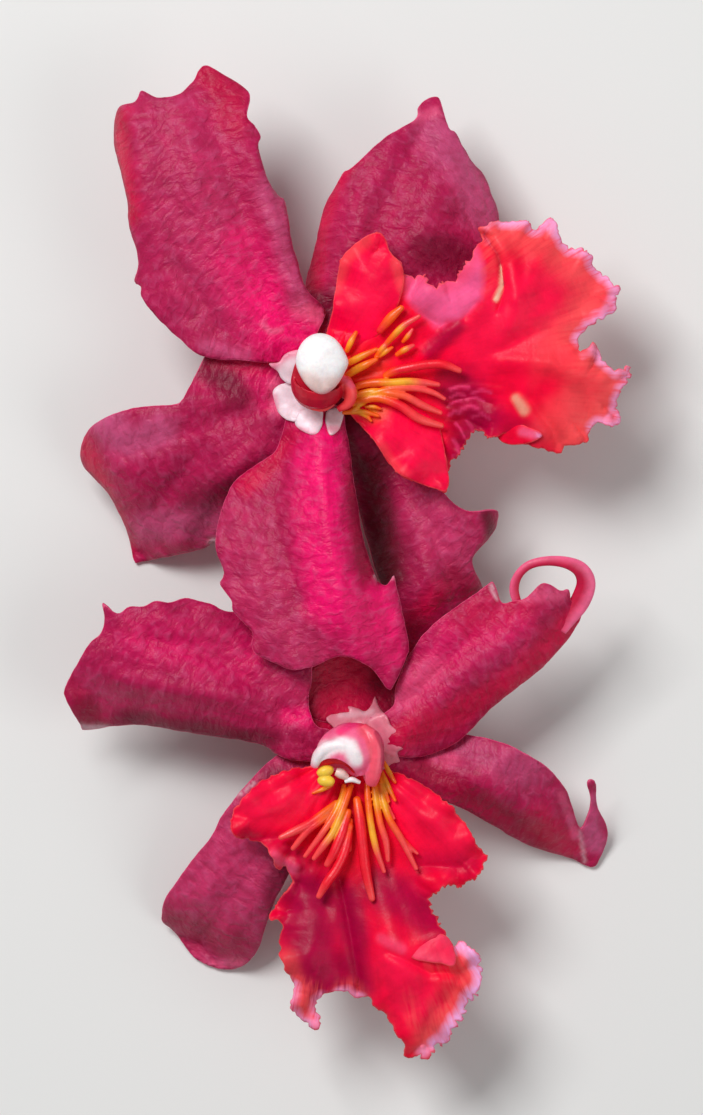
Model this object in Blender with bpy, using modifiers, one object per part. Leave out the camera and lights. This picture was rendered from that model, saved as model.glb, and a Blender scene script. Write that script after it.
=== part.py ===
"""Cut spray of cambria orchid with two open blooms, lying on its back.

Sizes are millimetres in the tables below and metres in the scene. The part's origin is the
middle of its footprint on the surface it rests on; +X is right, +Y up the spray, +Z up.
Each bloom's own shapes are measured from the middle of its column, with heights from the surface.
"""
import math

import bmesh
import bpy
import numpy as np
from mathutils import Vector
from mathutils.geometry import delaunay_2d_cdt

MM = 0.001

# Driving dimensions
UPPER_CENTRE = (-3.3, 22.25)
LOWER_CENTRE = (0.4, -22.75)
UPPER_JUNCTION = 17.0
LOWER_JUNCTION = 15.5
JUNCTION_RADIUS = 2.0
GAP = 0.3
BLADE = 0.7
TEPAL_CELL = 2.0
LIP_CELL = 1.65
STALK_RADIUS = 2.1
STALK_HEIGHT = 1.8
FLESH_SIDES = 12
FINGER_TAPER = (0.9, 1.0, 1.0, 0.6)
PAD_RADIUS = 0.8
CALLUS_CLEAR = 0.3
FINGER_SWAY = 0.07

# Outlines of the upper bloom's blades, counterclockwise from the claw
UPPER_PETAL_LEFT = [
    (-0.8, 3.1), (-0.8, 5.0), (-0.5, 6.6), (0.2, 8.1), (0.4, 9.3), (-0.3, 10.3), (-1.5, 11.3),
    (-2.3, 12.6), (-3.0, 15.0), (-3.8, 18.1), (-4.6, 22.8), (-5.5, 23.6), (-6.8, 25.6),
    (-7.9, 29.4), (-7.6, 31.0), (-8.4, 32.3), (-9.3, 33.4), (-9.0, 35.6), (-9.5, 36.9),
    (-12.8, 39.1), (-14.5, 40.0), (-15.5, 39.4), (-16.1, 38.0), (-18.0, 36.3), (-20.6, 35.9),
    (-22.6, 36.8), (-23.4, 35.4), (-25.5, 34.6), (-26.0, 31.0), (-25.6, 28.4), (-24.3, 23.1),
    (-24.1, 20.1), (-23.0, 15.6), (-23.4, 13.0), (-22.6, 12.3), (-22.6, 11.1), (-21.5, 9.4),
    (-18.8, 6.6), (-15.0, 3.6), (-9.6, 3.0), (-4.8, 2.6), (-2.6, 1.7),
]
UPPER_DORSAL = [
    (-2.8, 1.3), (-5.9, 3.1), (-10.3, 4.5), (-13.8, 4.5), (-14.9, 3.5), (-16.5, 0.0),
    (-17.6, -1.9), (-18.8, -2.4), (-24.0, -2.9), (-28.8, -4.9), (-30.3, -7.5), (-30.0, -10.1),
    (-26.9, -13.6), (-24.8, -18.1), (-23.9, -21.9), (-22.8, -22.1), (-17.8, -21.1),
    (-14.9, -20.4), (-13.5, -19.5), (-12.9, -20.1), (-11.3, -18.1), (-8.0, -13.9),
    (-4.6, -8.1), (-2.7, -2.1),
]
UPPER_LATERAL_TOP = [
    (2.9, 1.1), (5.4, 3.4), (9.8, 6.3), (14.8, 9.4), (19.5, 13.8), (22.1, 20.4), (21.1, 24.4),
    (20.0, 26.8), (18.6, 28.3), (16.8, 31.6), (15.9, 32.3), (15.0, 35.4), (14.3, 36.3),
    (13.0, 35.9), (12.0, 34.9), (11.6, 33.4), (7.9, 31.1), (3.8, 27.3), (2.5, 26.4),
    (0.3, 22.3), (-1.0, 16.9), (-2.1, 12.4), (-2.0, 9.4), (-1.0, 5.9), (0.3, 3.1),
]
UPPER_PETAL_DOWN = [
    (-2.0, -2.6), (-4.3, -3.9), (-5.6, -7.6), (-7.0, -9.1), (-10.8, -11.9), (-12.5, -15.4),
    (-13.4, -20.0), (-12.4, -22.9), (-12.4, -24.0), (-12.8, -25.0), (-11.4, -26.9),
    (-11.1, -28.4), (-8.8, -30.8), (-8.8, -32.3), (-8.0, -33.8), (-4.0, -35.5), (-1.5, -35.3),
    (2.3, -33.9), (5.6, -35.1), (8.1, -37.9), (9.0, -37.5), (10.5, -34.1), (10.8, -32.1),
    (9.3, -25.1), (8.9, -23.8), (8.1, -24.9), (7.3, -24.8), (6.6, -23.9), (5.0, -18.8),
    (4.4, -15.0), (3.1, -6.3), (2.2, -2.8),
]
UPPER_LATERAL_LOW = [
    (1.2, -3.2), (2.9, -8.1), (4.9, -16.9), (7.2, -24.6), (9.4, -30.6), (11.4, -33.8),
    (14.8, -34.0), (17.9, -31.5), (19.8, -28.4), (20.3, -25.9), (19.0, -22.9), (19.0, -21.3),
    (21.0, -19.1), (21.9, -17.5), (22.1, -16.0), (21.4, -15.5), (18.0, -15.6), (15.6, -13.8),
    (11.6, -8.8), (7.9, -5.0), (3.3, -1.2),
]
UPPER_LIP = [
    (2.9, -1.6), (3.1, -3.3), (6.1, -6.6), (9.1, -10.9), (10.8, -11.9), (14.3, -13.1),
    (15.5, -13.5), (15.9, -12.4), (15.9, -10.5), (17.3, -9.1), (18.3, -7.6), (19.3, -6.1),
    (20.8, -6.9), (22.3, -6.6), (25.8, -7.6), (29.6, -8.6), (30.6, -7.6), (33.0, -7.4),
    (33.6, -5.4), (35.0, -4.9), (36.3, -5.4), (37.4, -4.4), (37.0, -2.8), (37.3, -1.1),
    (38.8, 1.5), (38.1, 2.4), (36.6, 2.1), (35.5, 2.9), (33.9, 5.3), (33.0, 4.5), (32.1, 4.4),
    (32.3, 6.0), (33.3, 7.1), (36.4, 9.0), (37.0, 10.6), (37.1, 12.4), (34.3, 14.8),
    (33.6, 16.6), (32.5, 17.3), (30.9, 17.3), (29.8, 18.3), (29.4, 19.9), (28.5, 20.9),
    (26.4, 19.5), (26.0, 20.5), (23.0, 20.5), (21.6, 20.6), (19.4, 19.5), (19.8, 18.1),
    (17.1, 14.6), (16.1, 13.1), (14.9, 13.0), (13.9, 12.4), (13.1, 13.8), (10.3, 13.8),
    (9.8, 15.4), (8.4, 16.4), (8.1, 17.9), (7.1, 19.0), (5.8, 18.6), (2.6, 16.0), (2.0, 14.1),
    (1.4, 9.1), (0.6, 6.9), (0.9, 4.4), (2.0, 2.6),
]

# Outlines of the lower bloom's blades
LOWER_PETAL_LEFT = [
    (-2.6, 1.6), (-4.3, 2.3), (-5.1, 3.9), (-5.3, 6.3), (-4.9, 9.1), (-5.8, 12.1), (-8.4, 14.6),
    (-12.1, 16.3), (-15.9, 16.8), (-17.5, 17.6), (-20.5, 18.4), (-22.8, 17.9), (-24.6, 18.1),
    (-26.0, 17.4), (-27.8, 17.3), (-29.3, 16.5), (-31.1, 17.8), (-30.9, 15.9), (-31.4, 14.0),
    (-32.8, 12.8), (-34.0, 10.9), (-36.0, 7.1), (-35.8, 5.6), (-34.1, 2.4), (-33.3, 1.8),
    (-27.1, 2.4), (-19.0, 1.3), (-11.8, 0.1), (-9.3, -1.3), (-6.5, -2.1), (-3.0, -1.5),
]
LOWER_PETAL_RIGHT = [
    (3.3, -0.5), (5.8, -1.5), (8.8, -1.5), (11.6, -0.6), (13.9, 0.9), (17.5, 4.5), (20.0, 6.6),
    (23.5, 9.3), (26.0, 11.9), (27.9, 14.4), (28.9, 16.4), (29.0, 17.8), (27.5, 18.0),
    (27.1, 19.5), (26.0, 19.4), (23.9, 20.3), (21.8, 18.5), (20.4, 18.1), (18.8, 17.8),
    (18.1, 19.5), (17.6, 20.4), (16.9, 20.0), (14.8, 18.5), (10.0, 15.0), (7.1, 11.1),
    (5.5, 7.3), (5.3, 5.1), (4.0, 4.0), (1.9, 2.9),
]
LOWER_DORSAL = [
    (1.8, 2.4), (4.9, 3.4), (7.4, 6.0), (8.2, 9.6), (6.6, 13.1), (4.0, 16.3), (1.3, 18.4),
    (-0.9, 19.1), (-3.2, 18.1), (-5.8, 15.9), (-7.8, 12.5), (-8.6, 8.8), (-7.6, 5.4),
    (-4.8, 3.2), (-1.7, 2.4),
]
LOWER_LATERAL_LEFT = [
    (-3.1, -0.9), (-6.3, -0.4), (-9.3, -1.3), (-13.1, -4.9), (-16.3, -8.8), (-17.5, -11.3),
    (-20.6, -15.3), (-23.4, -19.3), (-24.0, -21.4), (-23.9, -22.6), (-22.5, -23.8),
    (-20.3, -26.9), (-18.6, -28.1), (-16.5, -28.8), (-14.5, -28.5), (-12.8, -27.4),
    (-11.5, -25.4), (-9.9, -20.4), (-8.0, -16.6), (-3.0, -6.9), (-1.4, -3.1),
]
LOWER_LATERAL_RIGHT = [
    (1.4, -3.1), (4.1, -5.0), (7.5, -6.1), (13.5, -7.9), (19.1, -11.1), (22.3, -12.9),
    (27.6, -14.6), (29.5, -15.5), (30.5, -15.8), (31.4, -14.9), (32.4, -11.1), (31.0, -7.9),
    (30.8, -5.1), (30.3, -4.5), (29.6, -4.9), (30.1, -7.4), (29.4, -9.9), (28.6, -10.4),
    (26.9, -5.6), (23.5, -2.1), (18.5, 0.4), (14.0, 1.3), (7.5, 2.1), (4.5, 1.3), (3.2, -0.9),
]
LOWER_LIP = [
    (-1.4, -2.9), (-4.3, -2.6), (-7.8, -3.0), (-11.3, -4.4), (-13.6, -6.5), (-15.0, -8.4),
    (-15.1, -10.3), (-14.3, -11.6), (-12.5, -12.0), (-10.9, -12.9), (-9.4, -15.5),
    (-8.3, -15.4), (-7.6, -16.9), (-8.5, -18.5), (-10.4, -21.6), (-9.0, -22.6), (-9.1, -26.5),
    (-7.5, -30.0), (-7.4, -31.6), (-8.0, -32.9), (-5.4, -35.4), (-4.3, -35.9), (-3.8, -35.1),
    (-4.0, -33.1), (-3.6, -31.6), (-2.3, -30.9), (-0.6, -31.0), (0.6, -31.8), (1.9, -31.6),
    (2.9, -33.0), (4.1, -33.8), (6.3, -37.5), (6.6, -39.0), (9.0, -39.5), (10.3, -39.0),
    (10.6, -38.0), (11.9, -37.6), (13.9, -34.6), (14.6, -32.8), (15.8, -31.4), (16.5, -27.9),
    (16.0, -26.0), (14.8, -24.8), (13.4, -24.4), (12.5, -25.0), (11.5, -22.3), (10.1, -19.8),
    (11.9, -17.9), (13.5, -18.1), (14.5, -17.4), (15.8, -17.0), (17.1, -14.0), (16.3, -13.1),
    (14.0, -9.3), (12.4, -7.3), (10.5, -5.9), (5.5, -3.3), (1.4, -2.9),
]

# Height pins (x, y, height): the blade is the smooth sheet through them
PINS = {
    "upper_bloom_petal_left": [
        (-1.8, 2.3, 15.6), (-5, 5, 16.4), (0.0, 8.5, 16.9), (-7, 9, 17.2), (-15, 5, 16.6),
        (-5, 16, 18.4), (-14, 14, 18.6), (-22, 12, 16.4), (-10, 24, 19.6), (-18, 24, 19.4),
        (-12, 32, 19.4), (-20, 32, 18.6), (-13.5, 39, 16.4), (-23, 35.5, 17.2),
    ],
    "upper_bloom_dorsal_sepal": [
        (-2.7, -0.4, 14.3), (-7, -2, 14.9), (-14, 1, 14.9), (-15, -6, 15.2), (-22, -5, 14.6),
        (-28, -6, 12.4), (-9, -12, 12.8), (-17, -12, 11.8), (-25, -11, 11.4), (-22, -17, 6.6),
        (-15, -19, 6.8), (-20, -21, 3.4), (-23.4, -21.6, 0.6),
    ],
    "upper_bloom_lateral_sepal_top": [
        (1.6, 2.2, 14.3), (4, 7, 14.9), (0, 12, 14.4), (11, 10, 14.6), (8, 18, 15.6),
        (2, 22, 14.6), (19, 16, 13.6), (14, 24, 15.2), (20, 24, 12.6), (9, 29, 14.2),
        (13.5, 35.5, 11.4),
    ],
    "upper_bloom_petal_down": [
        (0, -2.7, 15.6), (-1, -7, 17.6), (-7, -10.4, 15.6), (-1.5, -13, 18.8), (-11, -16, 16.8),
        (-2, -21, 19.9), (-12, -25, 17.0), (0, -27, 20.0), (-7, -32, 18.0), (2.4, -33.2, 18.6),
        (1.9, -8, 17.6), (3.2, -7.5, 15.9), (2.9, -15, 19.0), (4.5, -15.5, 16.9), (3.9, -20, 19.5),
        (5.6, -20.8, 17.3), (5.3, -25, 19.6), (7.4, -24.6, 17.9), (9, -25, 18.0), (7.2, -30, 18.7),
        (10.4, -31, 17.4), (8.4, -36, 16.8),
    ],
    "upper_bloom_lateral_sepal_low": [
        (2.1, -2.1, 14.3), (5, -7, 12.8), (6.5, -13, 9.6), (6.8, -20, 8.6), (10, -10, 12.4),
        (13.5, -17, 13.4), (18.5, -17, 13.6), (12, -25, 12.8), (18, -23, 11.4), (12, -32, 9.4),
        (18, -29, 9.2),
    ],
    "upper_bloom_lip": [
        (3, 0, 16.7), (3, 3, 17.1), (5, 9, 18.0), (3, 14, 17.8), (7, 17.5, 18.8), (8, -2, 17.4),
        (6, -6, 17.6), (11, -11, 18.2), (15, -12, 17.0), (12, 12, 19.6), (15, 10, 19.6),
        (15, 4, 17.6), (16, -3, 16.8), (22, 2, 18.8), (22, 12, 20.4), (27, 19.5, 18.4),
        (30, 8, 19.4), (36, 11, 17.0), (31, 1, 19.6), (38, 1, 17.4), (26, -7, 17.4), (35, -4, 17.2),
        (20, -6, 16.6),
    ],
    "lower_bloom_petal_left": [
        (-2.8, 0.1, 14.1), (-8, 3, 14.8), (-6, 10, 14.6), (-15, 6, 15.9), (-14, 14, 14.6),
        (-22, 8, 16.6), (-22, 17, 16.4), (-30, 11, 16.2), (-30.5, 16.5, 17.0), (-35, 6, 13.6),
        (-15, 2, 14.2), (-25, 4, 14.6),
    ],
    "lower_bloom_petal_right": [
        (2.6, 1.2, 14.1), (6, 2, 14.8), (7, 8, 15.4), (12, 3, 14.8), (14, 11, 16.2),
        (17, 18.5, 16.0), (21, 11, 15.6), (24, 16, 15.4), (28, 16.5, 13.8), (24.5, 19.8, 16.6),
    ],
    "lower_bloom_dorsal_sepal": [
        (0, 2.7, 12.8), (-3, 7, 13.6), (4, 7, 13.6), (0, 12, 12.6), (0, 18.5, 8.4),
    ],
    "lower_bloom_lateral_sepal_left": [
        (-2.3, -2, 12.8), (-7, -5, 13.2), (-13, -7, 12.6), (-9, -13, 12.2), (-18, -15, 9.6),
        (-12, -20, 9.4), (-23, -20.5, 5.2), (-17, -23.5, 5.4), (-12.5, -26, 4.4),
        (-16, -28.2, 2.2), (-20, -26, 1.0),
    ],
    "lower_bloom_lateral_sepal_right": [
        (2.4, -2, 12.8), (8, -2, 13.2), (14, -3, 12.8), (14, -7, 11.2), (21, -5, 11.0),
        (26, -8, 7.4), (25, -13, 3.6), (28.7, -12.5, 2.9), (30.4, -15.3, 0.6),
        (31.6, -11.6, 2.2), (30.6, -7.4, 5.4), (30.2, -5, 7.4),
    ],
    "lower_bloom_lip": [
        (0, -3, 15.2), (-5, -4, 15.8), (-13, -9, 17.8), (-9, -10, 16.8), (5, -5, 15.9),
        (12, -9, 17.6), (16.6, -14.5, 16.6), (0, -12, 15.6), (-2, -18, 15.4), (9, -18, 16.0),
        (-9.4, -21, 14.4), (-6, -27, 16.2), (-1, -29, 14.8), (5, -26, 17.6), (13, -27, 18.4),
        (9, -37, 15.0), (-6, -34, 13.8), (16, -28, 16.8), (3, -21, 16.0),
    ],
}

# Flanks (fold line start, fold line end, slope, fold radius): the sheet falls away
# to the right of the line
FLANKS = {
    "upper_bloom_petal_left": [
        ((-23.4, 10.0), (-24.6, 36.0), -1.9, 0.45), ((-2.6, 10.0), (-7.6, 26.0), 0.7, 0.6),
    ],
    "upper_bloom_dorsal_sepal": [((-27.6, -4.4), (-21.6, -22.0), 1.0, 0.6)],
    "upper_bloom_lateral_sepal_top": [
        ((3.0, 25.5), (1.2, 13.0), 0.9, 0.8), ((16.4, 33.0), (19.6, 20.0), -0.5, 0.6),
    ],
    "upper_bloom_lateral_sepal_low": [((19.0, -26.0), (20.4, -15.0), 1.3, 0.4)],
    "lower_bloom_petal_left": [((-13.0, 3.8), (-30.0, 8.6), -0.7, 0.7)],
    "lower_bloom_petal_right": [((8.0, 1.4), (26.0, 14.0), 0.7, 0.9)],
    "lower_bloom_lateral_sepal_left": [((-12.0, -27.0), (-24.0, -20.4), -0.6, 0.8)],
    "lower_bloom_lateral_sepal_right": [((8.0, -4.0), (28.0, -12.6), 0.5, 0.9)],
}
FLANK_FADE = 3.0

# Waves along the margins (height, length, reach inwards)
WAVES = {
    "upper_bloom_petal_left": (0.35, 8.0, 2.6),
    "upper_bloom_petal_down": (0.35, 7.0, 2.4),
    "lower_bloom_petal_left": (0.35, 7.5, 2.4),
    "upper_bloom_lip": (0.6, 5.6, 2.6),
    "lower_bloom_lip": (0.6, 5.6, 2.6),
}

# What each blade passes under, and the clear height kept there
UNDER = {
    "upper_bloom_petal_left": (),
    "upper_bloom_petal_down": (),
    "upper_bloom_lip": (),
    "upper_bloom_dorsal_sepal": ("upper_bloom_petal_left", "upper_bloom_petal_down"),
    "upper_bloom_lateral_sepal_top": ("upper_bloom_petal_left", "upper_bloom_lip"),
    "upper_bloom_lateral_sepal_low": (
        "upper_bloom_petal_down", "upper_bloom_lip", "lower_bloom_petal_right",
    ),
    "lower_bloom_petal_left": ("upper_bloom_petal_down",),
    "lower_bloom_petal_right": ("upper_bloom_petal_down",),
    "lower_bloom_lip": (),
    "lower_bloom_dorsal_sepal": (
        "lower_bloom_petal_left", "lower_bloom_petal_right", "upper_bloom_petal_down",
        "upper_bloom_lateral_sepal_low",
    ),
    "lower_bloom_lateral_sepal_left": ("lower_bloom_petal_left", "lower_bloom_lip"),
    "lower_bloom_lateral_sepal_right": ("lower_bloom_petal_right", "lower_bloom_lip"),
}
CLEAR = 1.6
CLEAR_SOFTNESS = 0.35
CLEAR_RISE = 0.4
REST_HEIGHT = 0.5
REST_SOFTNESS = 0.3

OUTLINES = {
    "upper_bloom_petal_left": UPPER_PETAL_LEFT,
    "upper_bloom_petal_down": UPPER_PETAL_DOWN,
    "upper_bloom_lip": UPPER_LIP,
    "upper_bloom_dorsal_sepal": UPPER_DORSAL,
    "upper_bloom_lateral_sepal_top": UPPER_LATERAL_TOP,
    "lower_bloom_petal_left": LOWER_PETAL_LEFT,
    "lower_bloom_petal_right": LOWER_PETAL_RIGHT,
    "upper_bloom_lateral_sepal_low": UPPER_LATERAL_LOW,
    "lower_bloom_lip": LOWER_LIP,
    "lower_bloom_dorsal_sepal": LOWER_DORSAL,
    "lower_bloom_lateral_sepal_left": LOWER_LATERAL_LEFT,
    "lower_bloom_lateral_sepal_right": LOWER_LATERAL_RIGHT,
}

# The loop at the lower right petal's tip, from the petal round to it again
LOOP_PATH = [
    (26.6, 15.0, 14.0), (28.3, 17.6, 14.7), (29.2, 20.2, 15.6), (28.6, 21.9, 16.4),
    (26.8, 22.8, 17.0), (24.4, 23.0, 17.2), (22.2, 22.5, 17.0), (20.8, 21.2, 16.6),
    (20.3, 19.4, 16.1), (20.7, 17.3, 15.6),
]
LOOP_RADII = [1.0, 1.0, 0.95, 0.85, 0.75, 0.65, 0.6, 0.6, 0.6, 0.65]

# Callus fingers: start x and y, tip x and y, rise over the lip, radius
UPPER_FINGERS = [
    (4.4, -0.1, 18.4, 1.9, 1.0, 0.62), (4.4, -0.8, 14.4, -0.1, 0.9, 0.5),
    (4.5, -1.1, 15.1, -1.8, 0.8, 0.5), (4.5, -1.6, 14.9, -3.5, 0.6, 0.5),
    (4.5, -2.1, 14.9, -5.4, 0.4, 0.5), (4.3, 3.2, 4.6, 6.6, 0.4, 0.45),
    (4.4, 2.1, 6.9, 4.2, 0.5, 0.5), (4.4, 1.3, 12.1, 8.4, 0.7, 0.5),
    (4.4, 3.0, 10.1, 10.1, 0.4, 0.75), (4.4, 1.0, 11.5, 4.9, 0.6, 0.5),
    (4.3, -2.1, 7.6, -4.1, 0.3, 0.6),
]
UPPER_PAD = [(4.4, 3.6), (4.6, 1.6), (4.6, -0.6), (4.4, -2.6)]
LOWER_FINGERS = [
    (-1.8, -6.6, -8.9, -11.4, 0.3, 0.65), (-1.7, -6.9, -7.4, -12.9, 0.4, 0.55),
    (-0.9, -6.1, -5.8, -13.9, 0.6, 0.5), (-0.2, -6.1, -4.7, -14.1, 0.6, 0.6),
    (0.0, -6.6, -4.1, -18.9, 0.5, 0.8), (0.5, -6.4, -0.2, -13.2, 0.3, 0.45),
    (1.3, -6.4, 2.4, -19.0, 0.5, 0.7), (2.1, -6.0, 4.0, -15.9, 0.7, 0.55),
    (3.1, -5.9, 4.6, -14.3, 0.7, 0.5), (3.6, -6.1, 8.0, -15.3, 0.5, 0.55),
    (4.5, -4.6, 5.8, -8.2, 0.6, 0.5),
]
LOWER_PAD = [(-2.2, -6.9), (-0.2, -6.3), (2.2, -6.1), (4.0, -5.7), (4.7, -4.0)]

# Colour, roughness
COLOURS = {
    "tepal": ((0.50, 0.035, 0.12), 0.50),
    "lip": ((0.85, 0.01, 0.05), 0.40),
    "callus": ((0.95, 0.22, 0.02), 0.40),
    "column": ((0.80, 0.30, 0.42), 0.45),
    "cap": ((0.92, 0.88, 0.86), 0.40),
    "pollen": ((0.95, 0.72, 0.12), 0.45),
    "stem": ((0.16, 0.22, 0.05), 0.55),
}


def centre_of(name):
    """Middle of the bloom that a piece belongs to."""
    return UPPER_CENTRE if name.startswith("upper") else LOWER_CENTRE


def catmull(a, b, c, d, t):
    """Point at t between b and c on the smooth curve through a, b, c and d."""
    return 0.5 * (2 * b + (c - a) * t + (2 * a - 5 * b + 4 * c - d) * t ** 2 + (3 * b - a - 3 * c + d) * t ** 3)


def smooth_path(points, step, closed):
    """Points about a step apart on the smooth curve through the given ones."""
    points = np.array(points, float)
    count = len(points)
    if not closed:
        points = np.vstack([2 * points[0] - points[1], points, 2 * points[-1] - points[-2]])
    result = []
    for i in range(count if closed else count - 1):
        if closed:
            a, b, c, d = (points[(i + k) % count] for k in (-1, 0, 1, 2))
        else:
            a, b, c, d = points[i:i + 4]
        pieces = max(1, round(np.linalg.norm(c - b) / step))
        result += [catmull(a, b, c, d, k / pieces) for k in range(pieces)]
    if not closed:
        result.append(points[-2])
    return np.array(result)


def sheet_through(pins):
    """Height function of the smooth sheet through the pins."""
    pins = np.array(pins, float)
    places = pins[:, :2]
    count = len(pins)

    def bend(points):
        squares = ((points[:, None] - places[None]) ** 2).sum(-1)
        return 0.5 * squares * np.log(squares + 1e-9)

    plane = np.c_[np.ones(count), places]
    system = np.block([[bend(places), plane], [plane.T, np.zeros((3, 3))]])
    weights = np.linalg.solve(system, np.r_[pins[:, 2], np.zeros(3)])

    def height(points):
        flat = np.c_[np.ones(len(points)), points]
        return bend(points) @ weights[:count] + flat @ weights[count:]

    return height


def flank_drop(points, start, end, slope, radius):
    """Drop of the sheet beside a fold line; a negative slope folds the left side."""
    start = np.array(start, float)
    run = np.array(end, float) - start
    length = np.linalg.norm(run)
    run /= length
    offset = points - start
    along = offset @ run
    across = (offset[:, 0] * run[1] - offset[:, 1] * run[0]) * np.sign(slope)
    beyond = np.maximum(0, np.maximum(-along, along - length))
    fade = np.exp(-(beyond / FLANK_FADE) ** 2)
    return abs(slope) * radius * np.logaddexp(0, across / radius) * fade


def inside(points, outline):
    """Which points lie inside a closed outline."""
    result = np.zeros(len(points), bool)
    for (x1, y1), (x2, y2) in zip(outline, np.roll(outline, -1, axis=0)):
        if y1 != y2:
            crosses = (y1 > points[:, 1]) != (y2 > points[:, 1])
            at = x1 + (points[:, 1] - y1) * (x2 - x1) / (y2 - y1)
            result ^= crosses & (points[:, 0] < at)
    return result


def margin_distance(points, outline):
    """Distance of each point to the outline, how far round the nearest place is, and that place."""
    best = np.full(len(points), 1e9)
    place = np.zeros(len(points))
    nearest = np.zeros((len(points), 2))
    travelled = 0.0
    for a, b in zip(outline, np.roll(outline, -1, axis=0)):
        run = b - a
        length = np.linalg.norm(run)
        share = np.clip(((points - a) @ run) / max(length, 1e-9) ** 2, 0, 1)
        spot = a + share[:, None] * run
        gap = np.linalg.norm(points - spot, axis=1)
        closer = gap < best
        best[closer] = gap[closer]
        place[closer] = travelled + share[closer] * length
        nearest[closer] = spot[closer]
        travelled += length
    return best, place, nearest


def blade_height(name, points):
    """Height of a blade's middle surface at points given from its bloom's centre."""
    height = sheet_through(PINS[name])(points)
    for flank in FLANKS.get(name, ()):
        height = height - flank_drop(points, *flank)
    outline = smooth_path(OUTLINES[name], 1.0, True)
    if name in WAVES:
        lift, length, reach = WAVES[name]
        gap, place, _ = margin_distance(points, outline)
        height = height + lift * np.sin(2 * math.pi * place / length) * np.exp(-(gap / reach) ** 2)
    for upper in UNDER[name]:
        shift = np.array(centre_of(name)) - np.array(centre_of(upper))
        there = points + shift
        cover = smooth_path(OUTLINES[upper], 1.0, True)
        gap, _, nearest = margin_distance(there, cover)
        covered = inside(there, cover)
        over = np.where(covered[:, None], there, nearest)
        ceiling = blade_height(upper, over) - CLEAR + CLEAR_RISE * np.where(covered, 0, gap)
        height = -CLEAR_SOFTNESS * np.logaddexp(-height / CLEAR_SOFTNESS, -ceiling / CLEAR_SOFTNESS)
    return REST_SOFTNESS * np.logaddexp(height / REST_SOFTNESS, REST_HEIGHT / REST_SOFTNESS)


def lattice(outline, cell):
    """Points of an even triangular grid inside an outline, clear of its margin."""
    low = outline.min(axis=0)
    high = outline.max(axis=0)
    rows = []
    for j, y in enumerate(np.arange(low[1], high[1], cell * math.sqrt(3) / 2)):
        xs = np.arange(low[0] + (j % 2) * cell / 2, high[0], cell)
        rows.append(np.c_[xs, np.full(len(xs), y)])
    grid = np.vstack(rows)
    grid = grid[inside(grid, outline)]
    gap, _, _ = margin_distance(grid, outline)
    return grid[gap > 0.6 * cell]


def blade_mesh(name, cell):
    """Open sheet of triangles that fills a blade's outline at its heights."""
    outline = smooth_path(OUTLINES[name], cell * 0.8, True)
    flat = np.vstack([outline, lattice(outline, cell)])
    count = len(outline)
    edges = [(i, (i + 1) % count) for i in range(count)]
    points, _, faces, _, _, _ = delaunay_2d_cdt([Vector(p) for p in flat], edges, [], 1, 1e-6)
    flat = np.array([tuple(p) for p in points])
    heights = blade_height(name, flat)
    mesh = bpy.data.meshes.new(name)
    vertices = np.c_[flat, heights] * MM
    mesh.from_pydata([tuple(v) for v in vertices], [], [tuple(f) for f in faces])
    build = bmesh.new()
    build.from_mesh(mesh)
    for face in build.faces:
        face.normal_update()
        if face.normal.z < 0:
            face.normal_flip()
    build.to_mesh(mesh)
    build.free()
    return mesh


def material(name):
    """Principled material of one kind of tissue."""
    colour, roughness = COLOURS[name]
    made = bpy.data.materials.get(name)
    if made is None:
        made = bpy.data.materials.new(name)
        made.use_nodes = True
        shader = made.node_tree.nodes["Principled BSDF"]
        shader.inputs["Base Color"].default_value = (*colour, 1)
        shader.inputs["Roughness"].default_value = roughness
        shader.inputs["Metallic"].default_value = 0
        made.diffuse_color = (*colour, 1)
    return made


def add_piece(name, mesh, tissue, parent):
    """Object of a named sub-part, with its material, smooth shaded."""
    piece = bpy.data.objects.new(name, mesh)
    mesh.materials.clear()
    mesh.materials.append(material(tissue))
    mesh.shade_smooth()
    spray.objects.link(piece)
    piece.parent = parent
    return piece


def add_blade(name, tissue, cell, parent):
    """Sepal, petal or lip: a thin sheet given its thickness."""
    piece = add_piece(name, blade_mesh(name, cell), tissue, parent)
    thickness = piece.modifiers.new("thickness", "SOLIDIFY")
    thickness.thickness = BLADE * MM
    thickness.offset = 0
    return piece


def tube_mesh(name, points, radii, sides, step=1.2):
    """Closed mesh of a smooth tube through points, with a radius at each."""
    stations = np.c_[np.array(points, float), np.array(radii, float)]
    path = smooth_path(stations, step, False)
    curve = bpy.data.curves.new(name, "CURVE")
    curve.dimensions = "3D"
    curve.bevel_depth = MM
    curve.bevel_resolution = sides // 2 - 2
    curve.use_fill_caps = True
    line = curve.splines.new("POLY")
    line.points.add(len(path) - 1)
    for point, (x, y, z, radius) in zip(line.points, path):
        point.co = (x * MM, y * MM, z * MM, 1)
        point.radius = radius
    holder = bpy.data.objects.new(name + "_path", curve)
    spray.objects.link(holder)
    evaluated = holder.evaluated_get(bpy.context.evaluated_depsgraph_get())
    mesh = bpy.data.meshes.new_from_object(evaluated)
    bpy.data.objects.remove(holder)
    build = bmesh.new()
    build.from_mesh(mesh)
    bmesh.ops.remove_doubles(build, verts=build.verts, dist=0.001 * MM)
    bmesh.ops.triangulate(build, faces=[f for f in build.faces if len(f.verts) > 4])
    build.to_mesh(mesh)
    build.free()
    return mesh


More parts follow.
